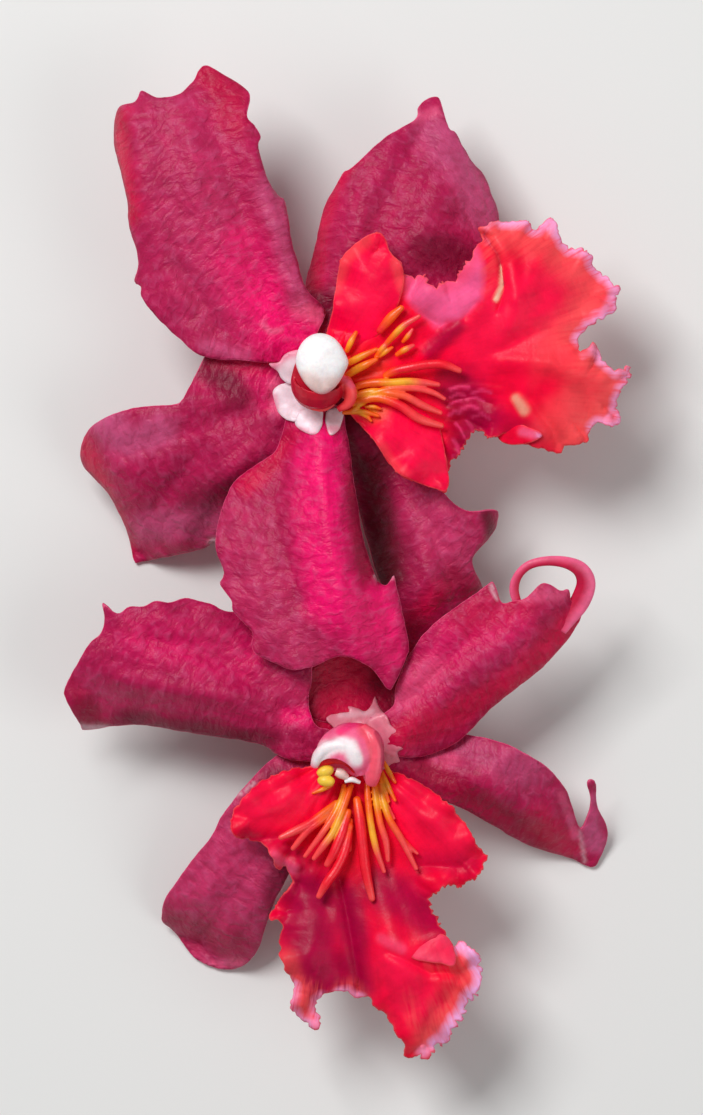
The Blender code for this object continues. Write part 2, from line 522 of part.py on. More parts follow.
def ball_mesh(name, centre, size, turn=0.0, rings=10):
    """Egg shape of a given centre and half sizes, turned about the vertical."""
    build = bmesh.new()
    bmesh.ops.create_uvsphere(build, u_segments=2 * rings - 4, v_segments=rings, radius=1)
    for vertex in build.verts:
        x, y, z = (vertex.co[k] * size[k] for k in range(3))
        vertex.co = (
            (centre[0] + x * math.cos(turn) - y * math.sin(turn)) * MM,
            (centre[1] + x * math.sin(turn) + y * math.cos(turn)) * MM,
            (centre[2] + z) * MM,
        )
    mesh = bpy.data.meshes.new(name)
    build.to_mesh(mesh)
    build.free()
    return mesh


def combine(piece, mesh, operation, solver="EXACT"):
    """Join a mesh to a piece or cut it away, at once."""
    tool = bpy.data.objects.new(piece.name + "_tool", mesh)
    cutters.objects.link(tool)
    tool.hide_render = True
    tool.display_type = "WIRE"
    tool.parent = piece.parent
    bpy.context.view_layer.update()
    step = piece.modifiers.new("combine", "BOOLEAN")
    step.operation = operation
    step.solver = solver
    step.object = tool
    apply_modifiers(piece)
    bpy.data.objects.remove(tool)


def fuse(piece, meshes):
    """Join many meshes to a piece with one union, at once."""
    group = bpy.data.collections.new(piece.name + "_repeats")
    cutters.children.link(group)
    for mesh in meshes:
        repeat = bpy.data.objects.new(mesh.name, mesh)
        group.objects.link(repeat)
        repeat.parent = piece.parent
    bpy.context.view_layer.update()
    step = piece.modifiers.new("fuse", "BOOLEAN")
    step.operation = "UNION"
    step.operand_type = "COLLECTION"
    step.collection = group
    apply_modifiers(piece)
    for repeat in list(group.objects):
        bpy.data.objects.remove(repeat)
    bpy.data.collections.remove(group)


def apply_modifiers(piece):
    """Keep a piece's evaluated mesh as its own."""
    evaluated = piece.evaluated_get(bpy.context.evaluated_depsgraph_get())
    mesh = bpy.data.meshes.new_from_object(evaluated)
    piece.modifiers.clear()
    piece.data = mesh
    mesh.shade_smooth()


def on_blade(name, places, lift):
    """Points a given height above a blade, at plan places."""
    places = np.array(places, float)
    return np.c_[places, blade_height(name, places) + lift]


def add_petal_loop(petal):
    """The right petal's tip: a ribbon of margin that curls round and joins it again."""
    name = petal.name
    combine(petal, tube_mesh(name + "_loop", LOOP_PATH, LOOP_RADII, 8), "UNION")


def add_callus(name, lip, pad, fingers, parent):
    """Crest of tapering fingers that fan out from a low pad over the lip."""
    lift = BLADE / 2 + GAP + CALLUS_CLEAR
    line = on_blade(lip, pad, lift + PAD_RADIUS)
    piece = add_piece(name, tube_mesh(name, line, [PAD_RADIUS] * len(line), 8), "callus", parent)
    meshes = []
    for i, (x1, y1, x2, y2, rise, radius) in enumerate(fingers):
        start = np.array([x1, y1])
        along = np.array([x2, y2]) - start
        aside = np.array([-along[1], along[0]]) * FINGER_SWAY * (1 if i % 2 else -1)
        places = [start + along * k + aside * math.sin(math.pi * k) for k in (0.0, 0.35, 0.7, 1.0)]
        line = on_blade(lip, places, lift + radius)
        line[:, 2] += [PAD_RADIUS - radius, rise * 0.8, rise, rise * 0.6]
        radii = [radius * k for k in FINGER_TAPER]
        meshes.append(tube_mesh(f"finger_{i}", line, radii, 6, 1.8))
    fuse(piece, meshes)
    return piece


def add_rachis(parent):
    """Flower stalk that lies on the surface, with a narrow flat underneath."""
    line = [
        (-2.5, 27.0, STALK_HEIGHT), (-2.4, 14.0, STALK_HEIGHT), (-1.4, -4.0, STALK_HEIGHT),
        (-0.6, -24.0, STALK_HEIGHT), (-1.2, -40.0, STALK_HEIGHT), (-1.8, -51.0, STALK_HEIGHT),
    ]
    radii = [1.5, STALK_RADIUS, STALK_RADIUS, STALK_RADIUS, STALK_RADIUS, STALK_RADIUS]
    mesh = tube_mesh("rachis", line, radii, FLESH_SIDES, 3.0)
    for vertex in mesh.vertices:
        vertex.co.z = max(vertex.co.z, 0)
    return add_piece("rachis", mesh, "stem", parent)


def add_ovary(name, foot, top, parent):
    """Pedicel that rises from the rachis and swells into the ovary under a bloom."""
    x, y = foot
    start = STALK_HEIGHT + STALK_RADIUS + GAP
    line = [
        (x, y, start), (x, y, start + 1.6), (x * 0.6, y * 0.6, start + 4.0),
        (x * 0.15, y * 0.15, top - 5.2), (0, 0, top - 3.4), (0, 0, top - 1.2), (0, 0, top),
    ]
    radii = [1.25, 1.2, 1.3, 1.8, JUNCTION_RADIUS, JUNCTION_RADIUS, JUNCTION_RADIUS]
    return add_piece(name, tube_mesh(name, line, radii, FLESH_SIDES, 1.6), "stem", parent)


def add_bract(name, place, parent):
    """Small pointed scale leaf that clasps the rachis below a pedicel."""
    x, y = place
    reach = STALK_RADIUS + GAP + BLADE / 2 + 0.1
    columns = [-0.95, -0.6, -0.2, 0.2, 0.6, 0.95]
    rows = [(0.0, 1.0, 0.0), (1.6, 1.05, 0.0), (3.2, 0.8, 0.1), (4.8, 0.35, 0.35)]
    vertices = []
    for along, width, lift in rows:
        for angle in columns:
            turn = angle * width
            vertices.append((
                (x + (reach + lift) * math.sin(turn)) * MM, (y + along) * MM,
                (STALK_HEIGHT + (reach + lift) * math.cos(turn)) * MM,
            ))
    faces = []
    wide = len(columns)
    for j in range(len(rows) - 1):
        for i in range(wide - 1):
            a = j * wide + i
            faces += [(a, a + 1, a + wide + 1), (a, a + wide + 1, a + wide)]
    mesh = bpy.data.meshes.new(name)
    mesh.from_pydata(vertices, [], faces)
    piece = add_piece(name, mesh, "stem", parent)
    thickness = piece.modifiers.new("thickness", "SOLIDIFY")
    thickness.thickness = BLADE * MM
    thickness.offset = 0
    return piece


def add_upper_column(parent):
    """Stout column leaning up the spray, with its white anther cap."""
    base = UPPER_JUNCTION + GAP
    seat = base + 5.3
    line = [
        (0, 0, base), (0, 0, base + 0.5), (-0.3, 0.0, base + 1.8), (-0.5, 0.1, base + 3.4),
        (-0.4, 1.4, base + 4.6), (-0.4, 1.4, seat),
    ]
    column = add_piece(
        "upper_bloom_column", tube_mesh("column", line, [2.2, 2.4, 3.0, 3.4, 3.2, 3.0], FLESH_SIDES),
        "column", parent,
    )
    combine(column, ball_mesh("wing", (3.0, -0.4, base + 3.2), (1.0, 1.5, 1.2)), "UNION")
    cap = ball_mesh("cap", (-0.1, 2.5, base + 6.7), (3.15, 3.8, 1.9), 0.1, 12)
    for vertex in cap.vertices:
        vertex.co.z = max(vertex.co.z, (seat + GAP) * MM)
    add_piece("upper_bloom_anther_cap", cap, "cap", parent)


def add_lower_column(parent):
    """Column whose cap has gone: a hood over the hollow that holds the pollen masses."""
    base = LOWER_JUNCTION + GAP
    line = [
        (0, 0, base), (0, 0, base + 0.5), (-0.2, -0.2, base + 1.8), (-0.3, -0.4, base + 3.2),
        (-0.3, -0.6, base + 4.0),
    ]
    column = add_piece(
        "lower_bloom_column", tube_mesh("column", line, [2.2, 2.4, 3.1, 3.0, 2.0], FLESH_SIDES),
        "column", parent,
    )
    hood = ball_mesh("hood", (-0.2, -0.6, base + 3.4), (4.3, 3.4, 2.8), 0.25, 10)
    combine(column, hood, "UNION")
    combine(column, ball_mesh("wing", (2.7, -2.4, base + 3.2), (1.3, 2.4, 1.6), -0.25), "UNION")
    combine(column, ball_mesh("hollow", (-2.1, -4.4, base + 3.9), (3.2, 2.7, 2.6)), "DIFFERENCE")
    masses = ball_mesh("pollen", (-2.9, -3.3, base + 3.4), (0.95, 0.75, 0.7), 0.3, 8)
    pollen = add_piece("lower_bloom_pollinia", masses, "pollen", parent)
    combine(pollen, ball_mesh("pollen_low", (-2.8, -4.4, base + 3.3), (0.95, 0.75, 0.7), 0.0, 8), "UNION")


def add_bloom(prefix, centre, parent):
    """Empty that carries one bloom, and all its blades."""
    bloom = bpy.data.objects.new(prefix + "_bloom", None)
    spray.objects.link(bloom)
    bloom.location = (centre[0] * MM, centre[1] * MM, 0)
    bloom.parent = parent
    for name in OUTLINES:
        if name.startswith(prefix):
            is_lip = name.endswith("lip")
            piece = add_blade(name, "lip" if is_lip else "tepal", LIP_CELL if is_lip else TEPAL_CELL, bloom)
            if name == "lower_bloom_petal_right":
                add_petal_loop(piece)
    return bloom


for old in list(bpy.data.objects):
    bpy.data.objects.remove(old)
spray = bpy.data.collections.new("cambria_orchid_spray")
bpy.context.scene.collection.children.link(spray)
cutters = bpy.data.collections.new("cutters")
bpy.context.scene.collection.children.link(cutters)
root = bpy.data.objects.new("spray_root", None)
spray.objects.link(root)

add_rachis(root)
upper = add_bloom("upper", UPPER_CENTRE, root)
lower = add_bloom("lower", LOWER_CENTRE, root)
add_ovary("upper_bloom_ovary", (1.0, -6.0), UPPER_JUNCTION, upper)
add_ovary("lower_bloom_ovary", (-0.9, -6.0), LOWER_JUNCTION, lower)
add_upper_column(upper)
add_lower_column(lower)
add_bract("upper_bract", (-2.1, 9.4), root)
add_bract("lower_bract", (-0.8, -36.0), root)
add_callus("upper_bloom_callus", "upper_bloom_lip", UPPER_PAD, UPPER_FINGERS, upper)
add_callus("lower_bloom_callus", "lower_bloom_lip", LOWER_PAD, LOWER_FINGERS, lower)
bpy.context.view_layer.update()
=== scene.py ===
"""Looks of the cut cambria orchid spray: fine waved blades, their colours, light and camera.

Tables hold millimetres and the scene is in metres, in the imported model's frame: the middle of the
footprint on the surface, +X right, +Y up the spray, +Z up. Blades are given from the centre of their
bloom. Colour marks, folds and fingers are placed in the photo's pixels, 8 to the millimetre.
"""
import math

import bmesh
import bpy
import numpy as np
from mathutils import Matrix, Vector, kdtree, noise
from mathutils.geometry import delaunay_2d_cdt


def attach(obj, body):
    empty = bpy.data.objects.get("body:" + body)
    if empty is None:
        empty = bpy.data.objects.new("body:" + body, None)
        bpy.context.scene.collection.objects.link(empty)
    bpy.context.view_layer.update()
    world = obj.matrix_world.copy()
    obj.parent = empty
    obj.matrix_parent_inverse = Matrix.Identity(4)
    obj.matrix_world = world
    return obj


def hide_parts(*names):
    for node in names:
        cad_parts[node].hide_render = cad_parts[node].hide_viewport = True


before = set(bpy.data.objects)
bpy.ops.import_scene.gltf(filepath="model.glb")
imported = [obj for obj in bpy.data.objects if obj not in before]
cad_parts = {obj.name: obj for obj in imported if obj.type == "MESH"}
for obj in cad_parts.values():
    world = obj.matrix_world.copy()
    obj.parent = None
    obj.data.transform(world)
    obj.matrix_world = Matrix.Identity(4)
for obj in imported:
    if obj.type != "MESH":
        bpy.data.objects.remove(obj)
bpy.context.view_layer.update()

MM = 0.001
PX_PER_MM = 8.0
PHOTO_SIZE = (703, 1115)
PHOTO_ORIGIN = (348.5, 563.0)
TINY = 1e-9
FAR = 1e9
MERGE = 1e-6

# Camera and light, in metres and watts
CAMERA_HEIGHT = 1.2
BLADE_PLANE = 0.016
SENSOR = 36.0
FLOOR_SIDE = 1.6
FLOOR_DROP = 0.05 * MM
FLOOR_COLOUR = (0.8, 0.8, 0.79, 1)
FLOOR_ROUGHNESS = 0.9
KEY_PLACE = (-0.28, 0.34, 0.62)
KEY_SIDE = 0.30
KEY_POWER = 4.5
FILL_PLACE = (0.45, -0.20, 0.50)
FILL_SIDE = 0.45
FILL_POWER = 1.0
SKY_COLOUR = (1, 1, 1, 1)
SKY_STRENGTH = 0.24

# Shapes shared with the solids, in millimetres
UPPER_CENTRE = (-3.3, 22.25)
LOWER_CENTRE = (0.4, -22.75)
UPPER_JUNCTION = 17.0
LOWER_JUNCTION = 15.5
JUNCTION_RADIUS = 2.0
GAP = 0.3
BLADE = 0.7
STALK_RADIUS = 2.1
STALK_HEIGHT = 1.8
CLEAR = 1.6
CLEAR_SOFTNESS = 0.35
CLEAR_RISE = 0.4
REST_HEIGHT = 0.5
REST_SOFTNESS = 0.3
FLANK_FADE = 3.0

# Mesh detail: triangle sides, steps and voxels in millimetres; spacing along the margin and clearance
# from it in triangle sides
CELL = {"tepal": 0.4, "lip": 0.29}
OVERLAY_CELL = 0.29
MARGIN_STEP = 0.8
MARGIN_CLEARANCE = 0.6
COVER_STEP = 1.0
TUBE_STEP = 0.3
FINGER_VOXEL = 0.09
COLUMN_VOXEL = 0.12
POLLEN_VOXEL = 0.08

# Thickness of the blades, in millimetres
BODY_THICKNESS = 0.55
EDGE_THICKNESS = 0.24
EDGE_TAPER = 1.2
TAPER_POWER = 0.7

# Small crumples (height, size), pleats near the margin (height, count a turn), teeth (depth, length)
CRUMPLE = {"tepal": (0.15, 2.0), "lip": (0.06, 2.6)}
PLEATS = {"tepal": (0.05, 40), "lip": (0.22, 30)}
PLEAT_REACH = 4.5
PLEAT_SWAY = 2.86
PLEAT_SWAY_SIZE = 8.0
TEETH = {"tepal": (0.12, 2.4), "lip": (0.36, 0.95)}
OVERLAY_TEETH = (0.1, 1.6)
TOOTH_SHARE = 0.35
TOOTH_LIMIT = 1.2
FOLD_SCALE = {"tepal": 1.5, "lip": 1.0}
COVERED_RELIEF = 0.25
OVERLAY_CRUMPLE = (0.1, 2.6)
OVERLAY_REST = 0.8

# Noise: how far each seed shifts it, how many seeds the names give, and what some uses add to theirs
NOISE_SHIFT = (17.3, 5.1, 9.7)
SEED_COUNT = 97
PLEAT_SEED = 3
TOOTH_SEED = 11

# Soft ends of notches and frills and the unrest of marks and patches, in photo pixels or shares
NOTCH_FADE = 5
NOTCH_UNREST = 2.5
FRILL_FADE = 10
MARK_UNREST = 0.22
MARK_UNREST_SIZE = 3.0
PATCH_UNREST = 2.0

# Outlines of the blades, counterclockwise from the claw
OUTLINES = {
    "upper_bloom_petal_left": [
        (-0.8, 3.1), (-0.8, 5.0), (-0.5, 6.6), (0.2, 8.1), (0.4, 9.3), (-0.3, 10.3), (-1.5, 11.3),
        (-2.3, 12.6), (-3.0, 15.0), (-3.8, 18.1), (-4.6, 22.8), (-5.5, 23.6), (-6.8, 25.6),
        (-7.9, 29.4), (-7.6, 31.0), (-8.4, 32.3), (-9.3, 33.4), (-9.0, 35.6), (-9.5, 36.9),
        (-12.8, 39.1), (-14.5, 40.0), (-15.5, 39.4), (-16.1, 38.0), (-18.0, 36.3), (-20.6, 35.9),
        (-22.6, 36.8), (-23.4, 35.4), (-25.5, 34.6), (-26.0, 31.0), (-25.6, 28.4), (-24.3, 23.1),
        (-24.1, 20.1), (-23.0, 15.6), (-23.4, 13.0), (-22.6, 12.3), (-22.6, 11.1), (-21.5, 9.4),
        (-18.8, 6.6), (-15.0, 3.6), (-9.6, 3.0), (-4.8, 2.6), (-2.6, 1.7),
    ],
    "upper_bloom_petal_down": [
        (-2.0, -2.6), (-4.3, -3.9), (-5.6, -7.6), (-7.0, -9.1), (-10.8, -11.9), (-12.5, -15.4),
        (-13.4, -20.0), (-12.4, -22.9), (-12.4, -24.0), (-12.8, -25.0), (-11.4, -26.9),
        (-11.1, -28.4), (-8.8, -30.8), (-8.8, -32.3), (-8.0, -33.8), (-4.0, -35.5), (-1.5, -35.3),
        (2.3, -33.9), (5.6, -35.1), (8.1, -37.9), (9.0, -37.5), (10.5, -34.1), (10.8, -32.1),
        (9.3, -25.1), (8.9, -23.8), (8.1, -24.9), (7.3, -24.8), (6.6, -23.9), (5.0, -18.8),
        (4.4, -15.0), (3.1, -6.3), (2.2, -2.8),
    ],
    "upper_bloom_lip": [
        (2.9, -1.6), (3.1, -3.3), (6.1, -6.6), (9.1, -10.9), (10.8, -11.9), (14.3, -13.1),
        (15.5, -13.5), (15.9, -12.4), (15.9, -10.5), (17.3, -9.1), (18.3, -7.6), (19.3, -6.1),
        (20.8, -6.9), (22.3, -6.6), (25.8, -7.6), (29.6, -8.6), (30.6, -7.6), (33.0, -7.4),
        (33.6, -5.4), (35.0, -4.9), (36.3, -5.4), (37.4, -4.4), (37.0, -2.8), (37.3, -1.1),
        (38.8, 1.5), (38.1, 2.4), (36.6, 2.1), (35.5, 2.9), (33.9, 5.3), (33.0, 4.5), (32.1, 4.4),
        (32.3, 6.0), (33.3, 7.1), (36.4, 9.0), (37.0, 10.6), (37.1, 12.4), (34.3, 14.8), (33.6, 16.6),
        (32.5, 17.3), (30.9, 17.3), (29.8, 18.3), (29.4, 19.9), (28.5, 20.9), (26.4, 19.5),
        (26.0, 20.5), (23.0, 20.5), (21.6, 20.6), (19.4, 19.5), (19.8, 18.1), (17.1, 14.6),
        (16.1, 13.1), (14.9, 13.0), (13.9, 12.4), (13.1, 13.8), (10.3, 13.8), (9.8, 15.4),
        (8.4, 16.4), (8.1, 17.9), (7.1, 19.0), (5.8, 18.6), (2.6, 16.0), (2.0, 14.1), (1.4, 9.1),
        (0.6, 6.9), (0.9, 4.4), (2.0, 2.6),
    ],
    "upper_bloom_dorsal_sepal": [
        (-2.8, 1.3), (-5.9, 3.1), (-10.3, 4.5), (-13.8, 4.5), (-14.9, 3.5), (-16.5, 0.0),
        (-17.6, -1.9), (-18.8, -2.4), (-24.0, -2.9), (-28.8, -4.9), (-30.3, -7.5), (-30.0, -10.1),
        (-26.9, -13.6), (-24.8, -18.1), (-23.9, -21.9), (-22.8, -22.1), (-17.8, -21.1),
        (-14.9, -20.4), (-13.5, -19.5), (-12.9, -20.1), (-11.3, -18.1), (-8.0, -13.9), (-4.6, -8.1),
        (-2.7, -2.1),
    ],
    "upper_bloom_lateral_sepal_top": [
        (2.9, 1.1), (5.4, 3.4), (9.8, 6.3), (14.8, 9.4), (19.5, 13.8), (22.1, 20.4), (21.1, 24.4),
        (20.0, 26.8), (18.6, 28.3), (16.8, 31.6), (15.9, 32.3), (15.0, 35.4), (14.3, 36.3),
        (13.0, 35.9), (12.0, 34.9), (11.6, 33.4), (7.9, 31.1), (3.8, 27.3), (2.5, 26.4), (0.3, 22.3),
        (-1.0, 16.9), (-2.1, 12.4), (-2.0, 9.4), (-1.0, 5.9), (0.3, 3.1),
    ],
    "lower_bloom_petal_left": [
        (-2.6, 1.6), (-4.3, 2.3), (-5.1, 3.9), (-5.3, 6.3), (-4.9, 9.1), (-5.8, 12.1), (-8.4, 14.6),
        (-12.1, 16.3), (-15.9, 16.8), (-17.5, 17.6), (-20.5, 18.4), (-22.8, 17.9), (-24.6, 18.1),
        (-26.0, 17.4), (-27.8, 17.3), (-29.3, 16.5), (-31.1, 17.8), (-30.9, 15.9), (-31.4, 14.0),
        (-32.8, 12.8), (-34.0, 10.9), (-36.0, 7.1), (-35.8, 5.6), (-34.1, 2.4), (-33.3, 1.8),
        (-27.1, 2.4), (-19.0, 1.3), (-11.8, 0.1), (-9.3, -1.3), (-6.5, -2.1), (-3.0, -1.5),
    ],
    "lower_bloom_petal_right": [
        (3.3, -0.5), (5.8, -1.5), (8.8, -1.5), (11.6, -0.6), (13.9, 0.9), (17.5, 4.5), (20.0, 6.6),
        (23.5, 9.3), (26.0, 11.9), (27.9, 14.4), (28.9, 16.4), (29.0, 17.8), (27.5, 18.0),
        (27.1, 19.5), (26.0, 19.4), (23.9, 20.3), (21.8, 18.5), (20.4, 18.1), (18.8, 17.8),
        (18.1, 19.5), (17.6, 20.4), (16.9, 20.0), (14.8, 18.5), (10.0, 15.0), (7.1, 11.1), (5.5, 7.3),
        (5.3, 5.1), (4.0, 4.0), (1.9, 2.9),
    ],
    "upper_bloom_lateral_sepal_low": [
        (1.2, -3.2), (2.9, -8.1), (4.9, -16.9), (7.2, -24.6), (9.4, -30.6), (11.4, -33.8),
        (14.8, -34.0), (17.9, -31.5), (19.8, -28.4), (20.3, -25.9), (19.0, -22.9), (19.0, -21.3),
        (21.0, -19.1), (21.9, -17.5), (22.1, -16.0), (21.4, -15.5), (18.0, -15.6), (15.6, -13.8),
        (11.6, -8.8), (7.9, -5.0), (3.3, -1.2),
    ],
    "lower_bloom_lip": [
        (-1.4, -2.9), (-4.3, -2.6), (-7.8, -3.0), (-11.3, -4.4), (-13.6, -6.5), (-15.0, -8.4),
        (-15.1, -10.3), (-14.3, -11.6), (-12.5, -12.0), (-10.9, -12.9), (-9.4, -15.5), (-8.3, -15.4),
        (-7.6, -16.9), (-8.5, -18.5), (-10.4, -21.6), (-9.0, -22.6), (-9.1, -26.5), (-7.5, -30.0),
        (-7.4, -31.6), (-8.0, -32.9), (-5.4, -35.4), (-4.3, -35.9), (-3.8, -35.1), (-4.0, -33.1),
        (-3.6, -31.6), (-2.3, -30.9), (-0.6, -31.0), (0.6, -31.8), (1.9, -31.6), (2.9, -33.0),
        (4.1, -33.8), (6.3, -37.5), (6.6, -39.0), (9.0, -39.5), (10.3, -39.0), (10.6, -38.0),
        (11.9, -37.6), (13.9, -34.6), (14.6, -32.8), (15.8, -31.4), (16.5, -27.9), (16.0, -26.0),
        (14.8, -24.8), (13.4, -24.4), (12.5, -25.0), (11.5, -22.3), (10.1, -19.8), (11.9, -17.9),
        (13.5, -18.1), (14.5, -17.4), (15.8, -17.0), (17.1, -14.0), (16.3, -13.1), (14.0, -9.3),
        (12.4, -7.3), (10.5, -5.9), (5.5, -3.3), (1.4, -2.9),
    ],
    "lower_bloom_dorsal_sepal": [
        (1.8, 2.4), (4.9, 3.4), (7.4, 6.0), (8.2, 9.6), (6.6, 13.1), (4.0, 16.3), (1.3, 18.4),
        (-0.9, 19.1), (-3.2, 18.1), (-5.8, 15.9), (-7.8, 12.5), (-8.6, 8.8), (-7.6, 5.4), (-4.8, 3.2),
        (-1.7, 2.4),
    ],
    "lower_bloom_lateral_sepal_left": [
        (-3.1, -0.9), (-6.3, -0.4), (-9.3, -1.3), (-13.1, -4.9), (-16.3, -8.8), (-17.5, -11.3),
        (-20.6, -15.3), (-23.4, -19.3), (-24.0, -21.4), (-23.9, -22.6), (-22.5, -23.8),
        (-20.3, -26.9), (-18.6, -28.1), (-16.5, -28.8), (-14.5, -28.5), (-12.8, -27.4),
        (-11.5, -25.4), (-9.9, -20.4), (-8.0, -16.6), (-3.0, -6.9), (-1.4, -3.1),
    ],
    "lower_bloom_lateral_sepal_right": [
        (1.4, -3.1), (4.1, -5.0), (7.5, -6.1), (13.5, -7.9), (19.1, -11.1), (22.3, -12.9),
        (27.6, -14.6), (29.5, -15.5), (30.5, -15.8), (31.4, -14.9), (32.4, -11.1), (31.0, -7.9),
        (30.8, -5.1), (30.3, -4.5), (29.6, -4.9), (30.1, -7.4), (29.4, -9.9), (28.6, -10.4),
        (26.9, -5.6), (23.5, -2.1), (18.5, 0.4), (14.0, 1.3), (7.5, 2.1), (4.5, 1.3), (3.2, -0.9),
    ],
}

# Height pins (x, y, height): the blade is the smooth sheet through them
PINS = {
    "upper_bloom_petal_left": [
        (-1.8, 2.3, 15.6), (-5, 5, 16.4), (0.0, 8.5, 16.9), (-7, 9, 17.2), (-15, 5, 16.6),
        (-5, 16, 18.4), (-14, 14, 18.6), (-22, 12, 16.4), (-10, 24, 19.6), (-18, 24, 19.4),
        (-12, 32, 19.4), (-20, 32, 18.6), (-13.5, 39, 16.4), (-23, 35.5, 17.2),
    ],
    "upper_bloom_dorsal_sepal": [
        (-2.7, -0.4, 14.3), (-7, -2, 14.9), (-14, 1, 14.9), (-15, -6, 15.2), (-22, -5, 14.6),
        (-28, -6, 12.4), (-9, -12, 12.8), (-17, -12, 11.8), (-25, -11, 11.4), (-22, -17, 6.6),
        (-15, -19, 6.8), (-20, -21, 3.4), (-23.4, -21.6, 0.6),
    ],
    "upper_bloom_lateral_sepal_top": [
        (1.6, 2.2, 14.3), (4, 7, 14.9), (0, 12, 14.4), (11, 10, 14.6), (8, 18, 15.6), (2, 22, 14.6),
        (19, 16, 13.6), (14, 24, 15.2), (20, 24, 12.6), (9, 29, 14.2), (13.5, 35.5, 11.4),
    ],
    "upper_bloom_petal_down": [
        (0, -2.7, 15.6), (-1, -7, 17.6), (-7, -10.4, 15.6), (-1.5, -13, 18.8), (-11, -16, 16.8),
        (-2, -21, 19.9), (-12, -25, 17.0), (0, -27, 20.0), (-7, -32, 18.0), (2.4, -33.2, 18.6),
        (1.9, -8, 17.6), (3.2, -7.5, 15.9), (2.9, -15, 19.0), (4.5, -15.5, 16.9), (3.9, -20, 19.5),
        (5.6, -20.8, 17.3), (5.3, -25, 19.6), (7.4, -24.6, 17.9), (9, -25, 18.0), (7.2, -30, 18.7),
        (10.4, -31, 17.4), (8.4, -36, 16.8),
    ],
    "upper_bloom_lateral_sepal_low": [
        (2.1, -2.1, 14.3), (5, -7, 12.8), (6.5, -13, 9.6), (6.8, -20, 8.6), (10, -10, 12.4),
        (13.5, -17, 13.4), (18.5, -17, 13.6), (12, -25, 12.8), (18, -23, 11.4), (12, -32, 9.4),
        (18, -29, 9.2),
    ],
    "upper_bloom_lip": [
        (3, 0, 16.7), (3, 3, 17.1), (5, 9, 18.0), (3, 14, 17.8), (7, 17.5, 18.8), (8, -2, 17.4),
        (6, -6, 17.6), (11, -11, 18.2), (15, -12, 17.0), (12, 12, 19.6), (15, 10, 19.6),
        (15, 4, 17.6), (16, -3, 16.8), (22, 2, 18.8), (22, 12, 20.4), (27, 19.5, 18.4), (30, 8, 19.4),
        (36, 11, 17.0), (31, 1, 19.6), (38, 1, 17.4), (26, -7, 17.4), (35, -4, 17.2), (20, -6, 16.6),
    ],
    "lower_bloom_petal_left": [
        (-2.8, 0.1, 14.1), (-8, 3, 14.8), (-6, 10, 14.6), (-15, 6, 15.9), (-14, 14, 14.6),
        (-22, 8, 16.6), (-22, 17, 16.4), (-30, 11, 16.2), (-30.5, 16.5, 17.0), (-35, 6, 13.6),
        (-15, 2, 14.2), (-25, 4, 14.6),
    ],
    "lower_bloom_petal_right": [
        (2.6, 1.2, 14.1), (6, 2, 14.8), (7, 8, 15.4), (12, 3, 14.8), (14, 11, 16.2), (17, 18.5, 16.0),
        (21, 11, 15.6), (24, 16, 15.4), (28, 16.5, 13.8), (24.5, 19.8, 16.6),
    ],
    "lower_bloom_dorsal_sepal": [
        (0, 2.7, 12.8), (-3, 7, 13.6), (4, 7, 13.6), (0, 12, 12.6), (0, 18.5, 8.4),
    ],
    "lower_bloom_lateral_sepal_left": [
        (-2.3, -2, 12.8), (-7, -5, 13.2), (-13, -7, 12.6), (-9, -13, 12.2), (-18, -15, 9.6),
        (-12, -20, 9.4), (-23, -20.5, 5.2), (-17, -23.5, 5.4), (-12.5, -26, 4.4), (-16, -28.2, 2.2),
        (-20, -26, 1.0),
    ],
    "lower_bloom_lateral_sepal_right": [
        (2.4, -2, 12.8), (8, -2, 13.2), (14, -3, 12.8), (14, -7, 11.2), (21, -5, 11.0), (26, -8, 7.4),
        (25, -13, 3.6), (28.7, -12.5, 2.9), (30.4, -15.3, 0.6), (31.6, -11.6, 2.2), (30.6, -7.4, 5.4),
        (30.2, -5, 7.4),
    ],
    "lower_bloom_lip": [
        (0, -3, 15.2), (-5, -4, 15.8), (-13, -9, 17.8), (-9, -10, 16.8), (5, -5, 15.9),
        (12, -9, 17.6), (16.6, -14.5, 16.6), (0, -12, 15.6), (-2, -18, 15.4), (9, -18, 16.0),
        (-9.4, -21, 14.4), (-6, -27, 16.2), (-1, -29, 14.8), (5, -26, 17.6), (13, -27, 18.4),
        (9, -37, 15.0), (-6, -34, 13.8), (16, -28, 16.8), (3, -21, 16.0),
    ],
}

# Flanks (fold line start, fold line end, slope, fold radius): the sheet falls away to the right
FLANKS = {
    "upper_bloom_petal_left": [
        ((-23.4, 10.0), (-24.6, 36.0), -1.9, 0.45), ((-2.6, 10.0), (-7.6, 26.0), 0.7, 0.6),
    ],
    "upper_bloom_dorsal_sepal": [((-27.6, -4.4), (-21.6, -22.0), 1.0, 0.6)],
    "upper_bloom_lateral_sepal_top": [
        ((3.0, 25.5), (1.2, 13.0), 0.9, 0.8), ((16.4, 33.0), (19.6, 20.0), -0.5, 0.6),
    ],
    "upper_bloom_lateral_sepal_low": [((19.0, -26.0), (20.4, -15.0), 1.3, 0.4)],
    "lower_bloom_petal_left": [((-13.0, 3.8), (-30.0, 8.6), -0.7, 0.7)],
    "lower_bloom_petal_right": [((8.0, 1.4), (26.0, 14.0), 0.7, 0.9)],
    "lower_bloom_lateral_sepal_left": [((-12.0, -27.0), (-24.0, -20.4), -0.6, 0.8)],
    "lower_bloom_lateral_sepal_right": [((8.0, -4.0), (28.0, -12.6), 0.5, 0.9)],
}

